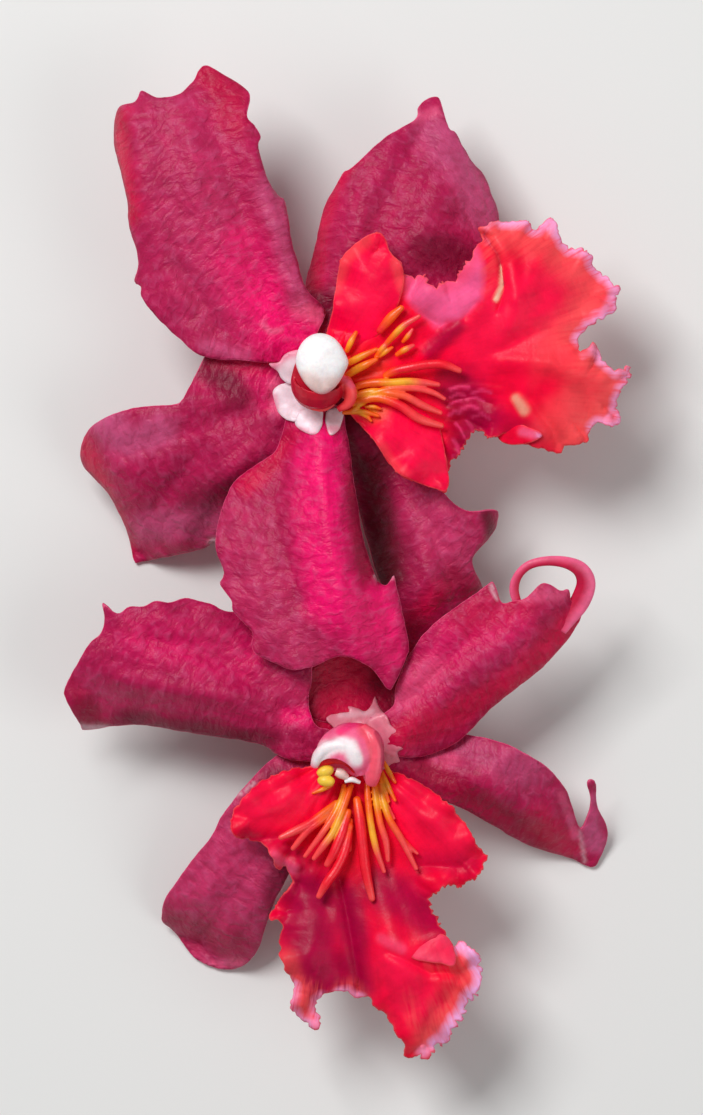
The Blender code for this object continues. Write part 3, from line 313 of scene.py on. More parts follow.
# Waves along the margins (height, length, reach inwards)
WAVES = {
    "upper_bloom_petal_left": (0.35, 8.0, 2.6),
    "upper_bloom_petal_down": (0.35, 7.0, 2.4),
    "lower_bloom_petal_left": (0.35, 7.5, 2.4),
    "upper_bloom_lip": (0.6, 5.6, 2.6),
    "lower_bloom_lip": (0.6, 5.6, 2.6),
}

# What each blade passes under
UNDER = {
    "upper_bloom_dorsal_sepal": ("upper_bloom_petal_left", "upper_bloom_petal_down"),
    "upper_bloom_lateral_sepal_top": ("upper_bloom_petal_left", "upper_bloom_lip"),
    "upper_bloom_lateral_sepal_low": (
        "upper_bloom_petal_down", "upper_bloom_lip", "lower_bloom_petal_right",
    ),
    "lower_bloom_petal_left": ("upper_bloom_petal_down",),
    "lower_bloom_petal_right": ("upper_bloom_petal_down",),
    "lower_bloom_dorsal_sepal": (
        "lower_bloom_petal_left", "lower_bloom_petal_right", "upper_bloom_petal_down",
        "upper_bloom_lateral_sepal_low",
    ),
    "lower_bloom_lateral_sepal_left": ("lower_bloom_petal_left", "lower_bloom_lip"),
    "lower_bloom_lateral_sepal_right": ("lower_bloom_petal_right", "lower_bloom_lip"),
}

# Tissue colours as seen, 0 to 255
PALETTE = {
    "rose": (182, 20, 80),
    "dusty": (200, 50, 102),
    # lilac is painted sheen: in the tepals' marks, and as the painted highlight on their raised
    # puckers
    "lilac": (208, 88, 136),
    "crimson": (150, 0, 48),
    "deep": (204, 0, 64),
    # maroon colours the veins; in most marks it is painted shadow and shade
    "maroon": (74, 0, 14),
    "hot": (255, 4, 112),
    "pink": (248, 100, 146),
    "pale": (244, 216, 226),
    "star": (228, 128, 148),
    "scarlet": (252, 0, 66),
    "red": (254, 0, 56),
    "luminous": (255, 18, 72),
    "salmon": (255, 88, 90),
    "lilac_white": (254, 178, 232),
    "magenta": (166, 0, 62),
    # painted highlight on the crests of the upper lip's ruffles
    "ruffle_highlight": (242, 62, 122),
    "flap": (255, 66, 104),
    "flap_pink": (255, 96, 154),
    "cream": (254, 220, 184),
    "bisque": (240, 168, 140),
    "orange": (255, 96, 14),
    "amber": (255, 176, 40),
    "finger_red": (246, 14, 44),
    "finger_tip": (255, 74, 76),
    "wax_white": (255, 250, 252),
    "wax_cream": (240, 206, 200),
    # painted shade: in the upper column's cup, at the shaded edge of the upper mid-lobe, below the
    # lower callus
    "shade_red": (182, 0, 42),
    "stem_green": (104, 122, 44),
    "stem_purple": (112, 36, 58),
    "bract": (142, 124, 76),
    "pollen": (252, 208, 66),
}

# Base colours other than rose
BASE_COLOUR = {
    "upper_bloom_lip": "red",
    "lower_bloom_lip": "red",
    # The lower dorsal sepal lies in the shade of the petals over it: its crimson is painted shade
    "lower_bloom_dorsal_sepal": "crimson",
    "lower_bloom_lateral_sepal_left": "dusty",
}

# Soft colour marks: a path in photo pixels, its radius there, the colour and its strength
MARKS = {
    "upper_bloom_petal_left": [
        # Painted sheen on the left part, which faces the light
        ([(185, 140), (200, 220), (215, 290)], 52, "dusty", 0.45),
        ([(230, 85), (212, 72)], 24, "crimson", 0.5),
        # Painted shade on the left margin, which rolls down
        ([(118, 120), (124, 180), (132, 214)], 13, "deep", 0.95),
        ([(206, 72), (228, 96), (236, 124)], 16, "deep", 0.6),
        ([(270, 336), (258, 300), (246, 262)], 36, "hot", 0.6),
        ([(300, 344), (274, 326), (262, 300)], 21, "hot", 0.95),
        # Painted highlight spots near the claw
        ([(262, 324), (270, 332), (280, 330)], 3, "pink", 0.8),
        # Painted sheen on the right flank, which turns away
        ([(266, 190), (288, 250), (300, 296)], 12, "lilac", 0.5),
        # The pink is the auricle's; the lilac after it is painted sheen along the lower margin
        ([(300, 308), (322, 316)], 9, "pink", 0.6), ([(205, 346), (245, 356)], 8, "lilac", 0.5),
    ],
    "upper_bloom_petal_down": [
        # Painted sheen on the left part, which faces the light
        ([(246, 520), (262, 600), (300, 650)], 30, "dusty", 0.5),
        ([(318, 440), (320, 520), (330, 600)], 26, "hot", 0.9),
        ([(340, 600), (362, 640)], 24, "hot", 0.4),
        # Painted shade on the steep left shoulder below the claw
        ([(292, 436), (272, 462), (246, 486)], 12, "deep", 0.8),
        # Painted shade on the right flank, which rolls away into shadow
        ([(352, 470), (358, 540), (378, 620)], 11, "crimson", 0.8),
        ([(378, 600), (392, 650)], 17, "hot", 0.7), ([(376, 577), (376, 578)], 2.5, "pale", 0.8),
        ([(393, 576), (393, 577)], 2.5, "pale", 0.8),
    ],
    "upper_bloom_dorsal_sepal": [
        # Painted sheen
        ([(104, 420), (130, 440), (160, 430)], 18, "lilac", 0.75),
        ([(256, 376), (272, 398)], 15, "hot", 0.6), ([(274, 386), (278, 408)], 8, "pink", 0.7),
        # Painted shadow under the left petal's margin, then painted sheen
        ([(214, 362), (262, 368)], 8, "deep", 0.6), ([(148, 525), (206, 520)], 18, "lilac", 0.65),
        # Painted shadows: under the left petal's margin, and beside the down petal's margin
        ([(205, 366), (238, 392)], 15, "maroon", 0.6), ([(190, 500), (236, 486)], 14, "maroon", 0.5),
        # Painted shade on the steep outer margin
        ([(82, 440), (104, 492), (124, 548)], 11, "deep", 0.85),
        ([(213, 542), (216, 545)], 5, "pale", 0.9),
    ],
    "upper_bloom_lateral_sepal_top": [
        # Painted shade along the left flank, which falls away under the left petal
        ([(350, 156), (332, 196), (320, 240), (316, 285)], 10, "deep", 0.8),
        # Painted sheen
        ([(436, 132), (468, 176), (482, 210)], 20, "lilac", 0.65),
        # The pink is the tip's flap; the maroon after it is painted shadow
        ([(414, 118), (436, 110)], 6, "pink", 0.5), ([(425, 250), (470, 262)], 20, "maroon", 0.6),
        # Painted shade where the sepal runs under the lip's edge
        ([(325, 300), (345, 320)], 16, "maroon", 0.6),
    ],
    "upper_bloom_lateral_sepal_low": [
        # Painted shadow in the deep hollow between this sepal and the down petal
        ([(374, 470), (382, 530), (390, 575)], 22, "maroon", 0.95),
        ([(430, 512), (462, 560)], 26, "dusty", 0.9), ([(440, 590), (420, 616)], 12, "deep", 0.7),
        ([(486, 514), (492, 540)], 6, "maroon", 0.7), ([(454, 576), (476, 600)], 14, "crimson", 0.7),
        # Painted shade at the claw, under the lip and the down petal
        ([(340, 420), (362, 450)], 20, "maroon", 0.7),
    ],
    "upper_bloom_lip": [
        ([(480, 330), (540, 305), (580, 290)], 44, "luminous", 0.8),
        ([(556, 350), (600, 372), (580, 420)], 26, "salmon", 0.45),
        # Painted shade on the low, ruffled part of the mid-lobe, in this mark and the next two
        ([(456, 386), (478, 412), (468, 456)], 23, "magenta", 0.9),
        ([(452, 396), (456, 440)], 9, "maroon", 0.35), ([(500, 420), (530, 434)], 14, "magenta", 0.5),
        # Painted highlights on the ruffle crests of the mid-lobe's low part
        ([(451, 389), (460, 386), (469, 387)], 1.7, "ruffle_highlight", 0.7),
        ([(472, 392), (482, 389), (492, 392)], 1.5, "ruffle_highlight", 0.6),
        ([(450, 397), (457, 393), (464, 394)], 1.5, "ruffle_highlight", 0.6),
        ([(466, 400), (476, 397), (484, 401)], 1.7, "ruffle_highlight", 0.7),
        ([(449, 406), (456, 402), (462, 401)], 1.4, "ruffle_highlight", 0.7),
        ([(460, 410), (470, 406), (478, 409)], 1.6, "ruffle_highlight", 0.6),
        ([(448, 415), (454, 411), (460, 412)], 1.5, "ruffle_highlight", 0.7),
        ([(472, 416), (482, 413), (490, 418)], 1.4, "ruffle_highlight", 0.5),
        ([(455, 424), (460, 430), (464, 438)], 1.6, "ruffle_highlight", 0.7),
        ([(466, 420), (471, 427), (474, 434)], 1.5, "ruffle_highlight", 0.6),
        ([(452, 440), (457, 447), (460, 455)], 1.6, "ruffle_highlight", 0.6),
        ([(454, 456), (457, 462)], 2.0, "ruffle_highlight", 0.6),
        ([(490, 230), (548, 240), (592, 288), (580, 322)], 20, "salmon", 0.6),
        ([(590, 352), (622, 376), (600, 414), (566, 444)], 14, "salmon", 0.7),
        ([(500, 224), (526, 220)], 5, "lilac_white", 0.5),
        ([(544, 222), (556, 232)], 7, "lilac_white", 0.8),
        ([(594, 254), (614, 290), (602, 314)], 4, "lilac_white", 0.5),
        ([(590, 348), (600, 362)], 5, "lilac_white", 0.5),
        ([(616, 396), (606, 420)], 3, "lilac_white", 0.5),
        ([(548, 428), (570, 400)], 18, "salmon", 0.4),
        # Painted shade in the groove of the rolled upper margin
        ([(484, 236), (497, 256), (502, 284)], 4, "crimson", 0.7),
        ([(500, 268), (500, 288), (495, 300)], 2.2, "cream", 0.9),
        ([(516, 398), (524, 411)], 4.2, "bisque", 0.85),
        # Painted shade on the raised keel, and at the edge of the shaded mid-lobe
        ([(430, 352), (456, 326)], 9, "magenta", 0.7), ([(440, 380), (458, 379)], 7, "shade_red", 0.6),
        ([(352, 372), (372, 372)], 20, "orange", 0.35),
    ],
    "lower_bloom_petal_left": [
        ([(140, 640), (240, 660)], 24, "hot", 0.35),
        # Painted shade on the lower band, which falls away
        ([(120, 716), (200, 728), (272, 740)], 11, "maroon", 0.6),
        ([(78, 690), (90, 716)], 15, "crimson", 0.7), ([(88, 680), (112, 700)], 12, "dusty", 0.5),
        ([(80, 728), (105, 729)], 4, "pale", 0.6), ([(288, 716), (310, 717)], 11, "hot", 0.85),
    ],
    "lower_bloom_petal_right": [
        ([(408, 690), (450, 645), (505, 618)], 24, "hot", 0.45),
        ([(398, 700), (430, 670)], 15, "pink", 0.4),
        # Painted shade on the lower flank, which falls away
        ([(400, 736), (450, 716), (520, 676), (572, 620)], 17, "deep", 0.95),
        ([(470, 620), (520, 600)], 20, "deep", 0.6), ([(491, 585), (497, 598)], 1.8, "pale", 0.6),
        ([(512, 578), (548, 562), (592, 580)], 7, "pink", 0.8),
        ([(525, 596), (568, 592)], 8, "pink", 0.5),
    ],
    "lower_bloom_lip": [
        ([(250, 806), (300, 796)], 26, "luminous", 0.6),
        ([(410, 800), (452, 846)], 26, "luminous", 0.7),
        # Painted shade along the fold at the foot of the left side lobe
        ([(246, 836), (290, 846), (300, 870)], 10, "magenta", 0.5),
        # Painted shade along the groove on the right side lobe
        ([(420, 862), (470, 866)], 13, "magenta", 0.45),
        ([(352, 800), (356, 850), (346, 900)], 22, "finger_red", 0.5),
        # Painted shadow below the callus
        ([(300, 880), (318, 900)], 15, "shade_red", 0.75),
        ([(310, 900), (312, 950), (322, 980)], 36, "magenta", 0.95),
        ([(350, 900), (356, 950), (362, 985)], 17, "magenta", 0.9),
        ([(380, 886), (404, 900), (430, 918)], 24, "magenta", 0.85),
        ([(396, 966), (420, 1006)], 26, "luminous", 0.85),
        ([(288, 960), (300, 1000), (312, 1020)], 11, "salmon", 0.55),
        ([(468, 950), (478, 980), (462, 1014), (430, 1046)], 17, "salmon", 0.75),
        ([(466, 946), (480, 962), (478, 990), (456, 1022), (424, 1052)], 7, "lilac_white", 0.55),
        ([(462, 948), (474, 960)], 6, "lilac_white", 0.6),
        ([(304, 1022), (318, 1026)], 4, "lilac_white", 0.5),
        ([(246, 800), (270, 788)], 14, "luminous", 0.5),
        ([(338, 992), (362, 996)], 4, "lilac_white", 0.5),
        ([(382, 938), (402, 948)], 5, "pink", 0.35), ([(274, 856), (292, 868)], 6, "pink", 0.6),
    ],
    # Painted shade at the sepal's base, under the petals
    "lower_bloom_dorsal_sepal": [([(340, 676), (344, 700)], 30, "deep", 0.95)],
    "lower_bloom_lateral_sepal_left": [
        ([(170, 925), (232, 946)], 20, "crimson", 0.6),
        # Painted shade on the right flank
        ([(276, 780), (286, 850), (276, 900)], 15, "maroon", 0.65),
        ([(200, 971), (240, 966)], 5, "pink", 0.6), ([(238, 796), (255, 783)], 1.6, "pale", 0.6),
    ],
    "lower_bloom_lateral_sepal_right": [
        # Painted sheen
        ([(470, 752), (530, 772)], 18, "lilac", 0.5),
        # Painted shade along the fold, where the lower flank falls away
        ([(420, 770), (480, 802), (545, 844)], 14, "crimson", 0.85),
        ([(540, 820), (572, 850)], 16, "deep", 0.6), ([(562, 795), (577, 838)], 4, "pink", 0.5),
        # The pale is the rim; the lilac after it is painted sheen
        ([(582, 834), (588, 866)], 2, "pale", 0.4), ([(592, 800), (596, 846)], 9, "lilac", 0.6),
        # The lilac is painted sheen
        ([(592, 835), (606, 850)], 10, "lilac", 0.6), ([(436, 758), (452, 762)], 8, "pink", 0.5),
    ],
}

# Clear patches: an outline in photo pixels, its softness, the colour and its strength
PATCHES = {
    "upper_bloom_lip": [
        (
            [
                (402, 262), (412, 268), (428, 272), (440, 276), (452, 270), (464, 258), (474, 242),
                (481, 262), (483, 284), (480, 298), (470, 313), (460, 320), (448, 321), (443, 327),
                (433, 326), (426, 318), (417, 311), (406, 298),
            ],
            4, "flap_pink", 0.95,
        ),
        (
            [
                (402, 262), (412, 268), (428, 272), (440, 276), (452, 270), (464, 258), (474, 242),
                (480, 258), (472, 272), (458, 286), (440, 292), (424, 286), (404, 278),
            ],
            7, "flap", 0.6,
        ),
    ],
}

# Where pale streaks show on the lips: a place in photo pixels, its reach and strength
FRILLS = {
    "upper_bloom_lip": [((560, 270), 84, 0.8), ((606, 392), 50, 0.75), ((500, 225), 24, 0.5)],
    "lower_bloom_lip": [((466, 1000), 66, 1.0), ((300, 1005), 34, 0.7), ((350, 995), 22, 0.6)],
}

# Soft folds: a path in photo pixels, its radius there and its height in millimetres
FOLDS = {
    "upper_bloom_petal_left": [
        ([(306, 340), (262, 284), (236, 200), (215, 120)], 15, -0.6),
        ([(140, 120), (150, 210), (176, 300)], 15, 0.5),
        ([(256, 160), (276, 220), (296, 290)], 10, 0.45), ([(186, 120), (196, 200)], 10, 0.3),
        ([(170, 250), (220, 330)], 9, -0.35),
    ],
    "upper_bloom_petal_down": [
        ([(318, 430), (326, 520), (342, 610), (366, 660)], 13, 0.5),
        ([(286, 446), (272, 520), (300, 600)], 12, -0.45),
        ([(236, 520), (262, 610), (300, 670)], 10, 0.35),
    ],
    "upper_bloom_dorsal_sepal": [
        ([(286, 396), (200, 430), (120, 450)], 12, -0.5), ([(240, 400), (180, 400)], 10, 0.35),
        ([(250, 450), (200, 500), (180, 540)], 12, 0.5), ([(200, 450), (150, 510)], 11, -0.4),
    ],
    "upper_bloom_lateral_sepal_top": [
        ([(340, 320), (380, 220), (428, 120)], 12, -0.5), ([(420, 240), (455, 170)], 12, 0.35),
        ([(350, 260), (368, 190)], 10, 0.3),
    ],
    "upper_bloom_lateral_sepal_low": [
        ([(360, 440), (400, 500), (440, 590)], 12, 0.35), ([(430, 520), (450, 580)], 8, -0.3),
    ],
    "lower_bloom_petal_left": [
        ([(290, 716), (220, 660), (150, 640)], 10, -0.4),
        ([(270, 700), (180, 690), (120, 680)], 9, 0.4), ([(240, 640), (160, 620)], 9, 0.3),
    ],
    "lower_bloom_petal_right": [
        ([(400, 740), (470, 670), (560, 600)], 12, 0.4), ([(410, 700), (470, 640)], 9, -0.35),
    ],
    "lower_bloom_lateral_sepal_left": [
        ([(320, 780), (250, 870), (200, 950)], 12, -0.4), ([(240, 830), (200, 900)], 10, 0.35),
    ],
    "lower_bloom_lateral_sepal_right": [
        ([(400, 755), (480, 775), (560, 830)], 10, 0.4), ([(470, 800), (540, 835)], 8, -0.3),
    ],
    "upper_bloom_lip": [
        ([(480, 400), (500, 440)], 26, -0.5), ([(450, 392), (474, 386), (500, 390)], 3.4, 0.22),
        ([(448, 401), (470, 397), (494, 404)], 3.4, -0.26),
        ([(450, 410), (472, 408), (490, 416)], 3.4, 0.3),
        ([(452, 421), (466, 418), (484, 428)], 3.4, -0.3),
        ([(452, 432), (468, 430), (478, 438)], 3.4, 0.3), ([(456, 444), (470, 443)], 3.4, -0.25),
        ([(458, 454), (472, 452)], 3.4, 0.25),
        ([(484, 234), (498, 256), (504, 290), (498, 310)], 4, -0.6),
        ([(494, 240), (512, 262), (516, 300)], 6, 0.45),
        ([(540, 260), (520, 300), (500, 340)], 11, 0.5),
        ([(590, 300), (540, 330), (500, 350)], 9, -0.45),
        ([(600, 380), (550, 366), (500, 362)], 9, 0.5), ([(560, 440), (530, 400)], 7, -0.5),
        ([(520, 400), (540, 430)], 7, 0.4), ([(426, 356), (458, 324)], 8, 0.7),
        ([(428, 300), (450, 300)], 12, 0.4),
        ([(412, 308), (440, 326), (462, 320), (476, 304)], 5, -0.5),
    ],
    "lower_bloom_lip": [
        ([(340, 880), (352, 940), (362, 995)], 6, -0.8), ([(318, 900), (308, 990)], 10, 0.45),
        ([(384, 900), (396, 960), (414, 1030)], 20, 1.0),
        ([(390, 952), (430, 972), (456, 972)], 5, -0.6), ([(440, 980), (420, 1020)], 7, 0.35),
        ([(470, 960), (446, 1000)], 6, -0.3), ([(300, 1000), (314, 1024)], 6, 0.5),
        ([(250, 812), (320, 790)], 12, 0.6), ([(240, 838), (300, 838)], 6, -0.5),
        ([(262, 852), (296, 866)], 5, 0.5), ([(396, 790), (456, 840)], 14, 0.7),
        ([(420, 866), (480, 866)], 5, -0.4), ([(424, 880), (462, 878)], 5, 0.3),
        ([(300, 886), (324, 906)], 10, -0.6),
    ],
}

# Notches in the margins: a place in photo pixels, its reach, the spacing and depth of the teeth in
# millimetres, and whether they are round scallops
NOTCHES = {
    "upper_bloom_lip": [
        ((428, 274), 20, 0.85, 0.6, False), ((458, 266), 20, 0.8, 0.5, False),
        ((464, 444), 26, 0.75, 0.5, False), ((500, 440), 16, 0.9, 0.3, False),
        ((596, 268), 44, 1.7, 0.5, True), ((612, 384), 34, 1.6, 0.5, True),
    ],
    "lower_bloom_lip": [
        ((436, 904), 28, 0.75, 0.55, False), ((472, 876), 20, 0.9, 0.4, False),
        ((476, 976), 34, 1.5, 0.75, True), ((446, 1034), 42, 1.4, 0.75, True),
        ((302, 1014), 26, 1.5, 0.4, True),
    ],
}

# Lobes that lie over other blades: what they lie on, an outline in photo pixels, how high above it
# (one height, or heights at places), colour, marks, tissue and the solid they belong to
OVERLAYS = {
    "upper_bloom_lip_side_low": (
        ("upper_bloom_lip",),
        [
            (345, 394), (346, 408), (358, 424), (371, 438), (384, 456), (395, 471), (408, 479),
            (422, 485), (436, 489), (445, 492), (449, 484), (448, 468), (445, 452), (442, 438),
            (438, 424), (424, 410), (404, 400), (380, 392), (360, 388),
        ],
        [
            (345, 400, -0.1), (371, 438, 0.25), (408, 479, 0.5), (446, 490, 0.9), (447, 460, 1.1),
            (440, 430, 0.5), (404, 400, -0.1), (360, 388, -0.2), (400, 430, 0.5),
        ],
        "scarlet",
        [
            ([(352, 402), (376, 410)], 12, "orange", 0.7),
            ([(356, 404), (372, 412)], 5, "amber", 0.7),
            ([(420, 450), (436, 478)], 18, "luminous", 0.7),
            ([(378, 446), (402, 474)], 6, "salmon", 0.4),
        ],
        "lip", "upper_bloom_lip",
    ),
    "upper_bloom_lip_side_top": (
        ("upper_bloom_lip",),
        [
            (329, 352), (327, 332), (332, 312), (335, 292), (338, 272), (343, 257), (352, 247),
            (366, 237), (379, 233), (386, 240), (390, 252), (399, 262), (404, 275), (403, 290),
            (398, 306), (391, 320), (378, 336), (360, 350), (344, 358),
        ],
        [
            (329, 350, -0.1), (338, 272, 0.3), (379, 233, 0.9), (403, 280, 1.0), (395, 315, 0.5),
            (344, 358, -0.2), (365, 290, 0.6),
        ],
        "scarlet",
        [
            ([(336, 290), (342, 262), (366, 240)], 8, "salmon", 0.5),
            ([(366, 300), (384, 270)], 20, "luminous", 0.7),
            ([(383, 328), (402, 306)], 8, "luminous", 0.6),
            ([(396, 262), (402, 290)], 5, "salmon", 0.5),
        ],
        "lip", "upper_bloom_lip",
    ),
    "upper_bloom_lip_tip": (
        ("upper_bloom_lip",),
        [
            (496, 414), (508, 412), (519, 421), (529, 427), (541, 433), (541, 438), (530, 443),
            (514, 445), (500, 441), (494, 428),
        ],
        [
            (496, 416, -1.3), (508, 412, -1.3), (500, 440, -1.2), (519, 421, -0.2), (541, 436, 0.5),
            (528, 443, 0.4),
        ],
        "red",
        [
            ([(524, 432), (541, 437)], 5, "pink", 0.8),
            ([(538, 436), (541, 438)], 2, "lilac_white", 0.6),
        ],
        "lip", "upper_bloom_lip",
    ),
    "lower_bloom_lip_flap": (
        ("lower_bloom_lip",),
        [
            (404, 944), (412, 940), (424, 937), (436, 933), (446, 935), (453, 945), (456, 957),
            (453, 965), (441, 963), (426, 961), (412, 957),
        ],
        [(406, 944, -0.1), (436, 934, 0.2), (455, 955, 0.9), (440, 962, 1.1), (412, 957, 0.5)],
        "flap", [([(430, 944), (446, 950)], 10, "luminous", 0.6)], "lip", "lower_bloom_lip",
    ),
    "upper_bloom_column_lobe_a": (
        ("upper_bloom_petal_left", "upper_bloom_dorsal_sepal"),
        [
            (269, 364), (277, 372), (281, 379), (290, 384), (302, 380), (306, 366), (302, 352),
            (293, 350), (285, 354), (278, 362),
        ],
        0.55, "pale", [([(272, 366), (282, 356), (294, 352)], 6, "pink", 0.7)], "flesh",
        "upper_bloom_column",
    ),
    "upper_bloom_column_lobe_b": (
        ("upper_bloom_dorsal_sepal", "upper_bloom_petal_down"),
        [
            (273, 391), (280, 384), (292, 383), (302, 390), (308, 404), (308, 418), (298, 422),
            (287, 420), (278, 413), (274, 402),
        ],
        0.75, "pale", [([(274, 396), (276, 408)], 4, "pink", 0.5)], "flesh", "upper_bloom_column",
    ),
    "upper_bloom_column_lobe_c": (
        ("upper_bloom_petal_down", "upper_bloom_dorsal_sepal"),
        [
            (295, 424), (298, 414), (308, 408), (322, 410), (323, 422), (318, 433), (311, 435),
            (302, 431),
        ],
        0.95, "pale", [([(300, 430), (314, 434)], 4, "pink", 0.5)], "flesh", "upper_bloom_column",
    ),
    "upper_bloom_column_lobe_d": (
        ("upper_bloom_petal_down",),
        [(325, 422), (327, 411), (336, 408), (344, 412), (341, 426), (337, 432), (330, 435)], 0.95,
        "pale", [([(328, 430), (338, 430)], 4, "pink", 0.5)], "flesh", "upper_bloom_column",
    ),
    "lower_bloom_column_star": (
        ("lower_bloom_dorsal_sepal", "lower_bloom_petal_right", "lower_bloom_petal_left"),
        [
            (326, 720), (330, 715), (341, 713), (349, 712), (348, 707), (357, 709), (365, 712),
            (371, 706), (375, 697), (379, 708), (386, 715), (391, 725), (400, 733), (392, 740),
            (407, 746), (398, 752), (400, 764), (390, 766), (380, 776), (350, 770), (332, 752),
            (326, 736), (334, 730),
        ],
        0.45, "star",
        [([(340, 716), (372, 714)], 4, "pale", 0.4), ([(376, 722), (392, 748)], 5, "dusty", 0.3)],
        "flesh", "lower_bloom_column",
    ),
    # Its deep colour is painted shade in the lower bloom's centre
    "lower_bloom_dorsal_sepal_claw": (
        ("lower_bloom_dorsal_sepal",),
        [
            (296, 700), (312, 694), (346, 694), (362, 712), (350, 744), (322, 752), (304, 742),
            (298, 722),
        ],
        [(300, 704, -0.3), (346, 694, -0.5), (322, 752, -0.3), (304, 742, -0.3)], "deep", [], "tepal",
        "lower_bloom_dorsal_sepal",
    ),
}

# The loop at the lower right petal's tip: path, half widths, half heights, and how its skin pales
# outwards
LOOP_PATH = [
    (26.2, 14.2, 13.9), (27.2, 16.0, 14.2), (28.6, 18.0, 14.8), (29.3, 20.2, 15.6),
    (28.6, 21.9, 16.4), (26.8, 22.8, 17.0), (24.4, 23.0, 17.2), (22.2, 22.5, 17.0),
    (20.8, 21.2, 16.6), (20.3, 19.4, 16.1), (20.9, 17.2, 15.6),
]
LOOP_WIDTHS = [0.7, 1.1, 1.25, 1.2, 1.0, 0.75, 0.6, 0.55, 0.55, 0.6, 0.5]
LOOP_HEIGHTS = [0.25, 0.35, 0.45, 0.5, 0.5, 0.42, 0.36, 0.34, 0.34, 0.3, 0.25]
LOOP_PALE = 0.35
LOOP_BLEND = 0.9

# Callus fingers: path in photo pixels, how far it arches up, radius in millimetres, tone
FINGERS = {
    "upper_bloom_callus": [
        (
            ((386, 376), (396, 371), (410, 368), (428, 365), (443, 365), (459, 371)), 1.1, 0.6,
            "redder",
        ),
        (
            ((350, 390), (362, 385), (376, 383), (391, 383), (408, 382), (424, 383), (438, 385)), 0.9,
            0.5, "flame",
        ),
        (
            ((352, 404), (364, 398), (376, 393), (395, 389), (417, 389), (433, 393), (444, 399)), 0.9,
            0.42, "warm",
        ),
        (((352, 396), (372, 392), (391, 394), (406, 397), (423, 406), (440, 413)), 0.8, 0.5, "warm"),
        (((358, 402), (378, 398), (400, 406), (419, 419), (441, 426)), 0.6, 0.6, "red"),
        (((347, 351), (351, 342), (356, 333)), 0.3, 0.4, "amber"),
        (((345, 365), (351, 362), (363, 356), (376, 350)), 0.5, 0.44, "amber"),
        (((344, 378), (356, 370), (366, 365), (376, 360)), 0.5, 0.5, "amber"),
        (((376, 357), (383, 348), (389, 341)), 0.4, 0.36, "orange"),
        (((379, 357), (386, 352), (392, 348)), 0.3, 0.32, "amber"),
        (((397, 355), (405, 350), (413, 346)), 0.4, 0.4, "orange"),
        (((384, 347), (393, 337), (404, 326), (419, 317)), 0.7, 0.42, "orange"),
        (((403, 342), (408, 336), (412, 330)), 0.4, 0.32, "orange"),
        (((380, 331), (391, 318), (401, 309)), 0.2, 0.62, "ridge"),
        (((350, 412), (362, 404), (376, 397)), 0.3, 0.3, "amber"),
        (((344, 413), (362, 412), (378, 416)), 0.2, 0.36, "amber"),
        (((356, 412), (366, 416), (371, 421)), 0.2, 0.3, "amber"),
        (((366, 407), (374, 407), (380, 409)), 0.2, 0.28, "amber"),
    ],
    "lower_bloom_callus": [
        (((336, 803), (325, 812), (310, 823), (296, 830), (281, 837)), 0.4, 0.55, "red"),
        (((333, 809), (322, 819), (308, 830), (293, 848)), 0.5, 0.5, "red"),
        (((344, 786), (341, 800), (334, 815), (322, 833), (305, 856)), 0.7, 0.42, "warm"),
        (
            ((351, 786), (346, 800), (340, 816), (333, 832), (323, 846), (314, 858)), 0.8, 0.48,
            "flame",
        ),
        (((348, 812), (342, 832), (334, 852), (327, 864)), 0.6, 0.62, "redder"),
        (((350, 826), (345, 850), (337, 868), (327, 882), (319, 896)), 0.5, 0.62, "redder"),
        (((351, 820), (350, 836), (350, 850)), 0.4, 0.36, "redder"),
        (((357, 800), (360, 820), (363, 848), (366, 872), (372, 898)), 0.6, 0.68, "redder"),
        (((367, 784), (368, 800), (371, 824), (376, 848), (384, 871)), 0.9, 0.44, "flame"),
        (((374, 784), (376, 800), (380, 822), (386, 841), (388, 860)), 0.8, 0.44, "warm"),
        (((380, 784), (383, 800), (390, 820), (402, 840), (416, 868)), 0.6, 0.46, "warm"),
        (((402, 838), (409, 846), (417, 853)), 0.5, 0.34, "red"),
        (((384, 762), (389, 772), (395, 782)), 0.6, 0.34, "amber"),
        (((382, 772), (388, 786), (395, 800)), 0.6, 0.34, "amber"),
        (((380, 776), (384, 788), (389, 801)), 0.5, 0.3, "amber"),
        (((332, 785), (323, 789), (313, 793)), 0.3, 0.3, "amber"),
        (((378, 790), (386, 804), (394, 818)), 0.4, 0.3, "orange"),
    ],
}
FINGER_LIFT = 0.6
FINGER_SIDES = 12
FINGER_END_RINGS = 8

# How a finger arches and thins along its length, as shares
FINGER_ARCH = ([0, 0.35, 0.75, 1], [0.2, 0.9, 1.0, 0.6])
FINGER_TAPER = ([0, 0.3, 0.8, 1], [0.75, 1.0, 0.95, 0.62])

# Finger colours from root to tip, and how near a finger's colour gives way to its neighbour's
TONES = {
    "amber": [(0.0, "orange"), (0.4, "amber"), (0.8, "orange"), (1.0, "orange")],
    "flame": [
        (0.0, "orange"), (0.3, "orange"), (0.5, "amber"), (0.62, "amber"), (0.8, "finger_tip"),
        (1.0, "finger_tip"),
    ],
    "ridge": [(0.0, "finger_red"), (0.5, "orange"), (1.0, "orange")],
    "orange": [
        (0.0, "orange"), (0.3, "orange"), (0.5, "amber"), (0.7, "finger_tip"), (1.0, "finger_tip"),
    ],
    "warm": [
        (0.0, "orange"), (0.25, "amber"), (0.4, "orange"), (0.7, "finger_tip"), (1.0, "finger_tip"),
    ],
    "red": [
        (0.0, "orange"), (0.25, "orange"), (0.45, "finger_red"), (0.8, "finger_tip"),
        (1.0, "finger_tip"),
    ],
    "redder": [(0.0, "orange"), (0.2, "finger_red"), (0.8, "finger_red"), (1.0, "finger_tip")],
}
TONE_BLEND = 0.05

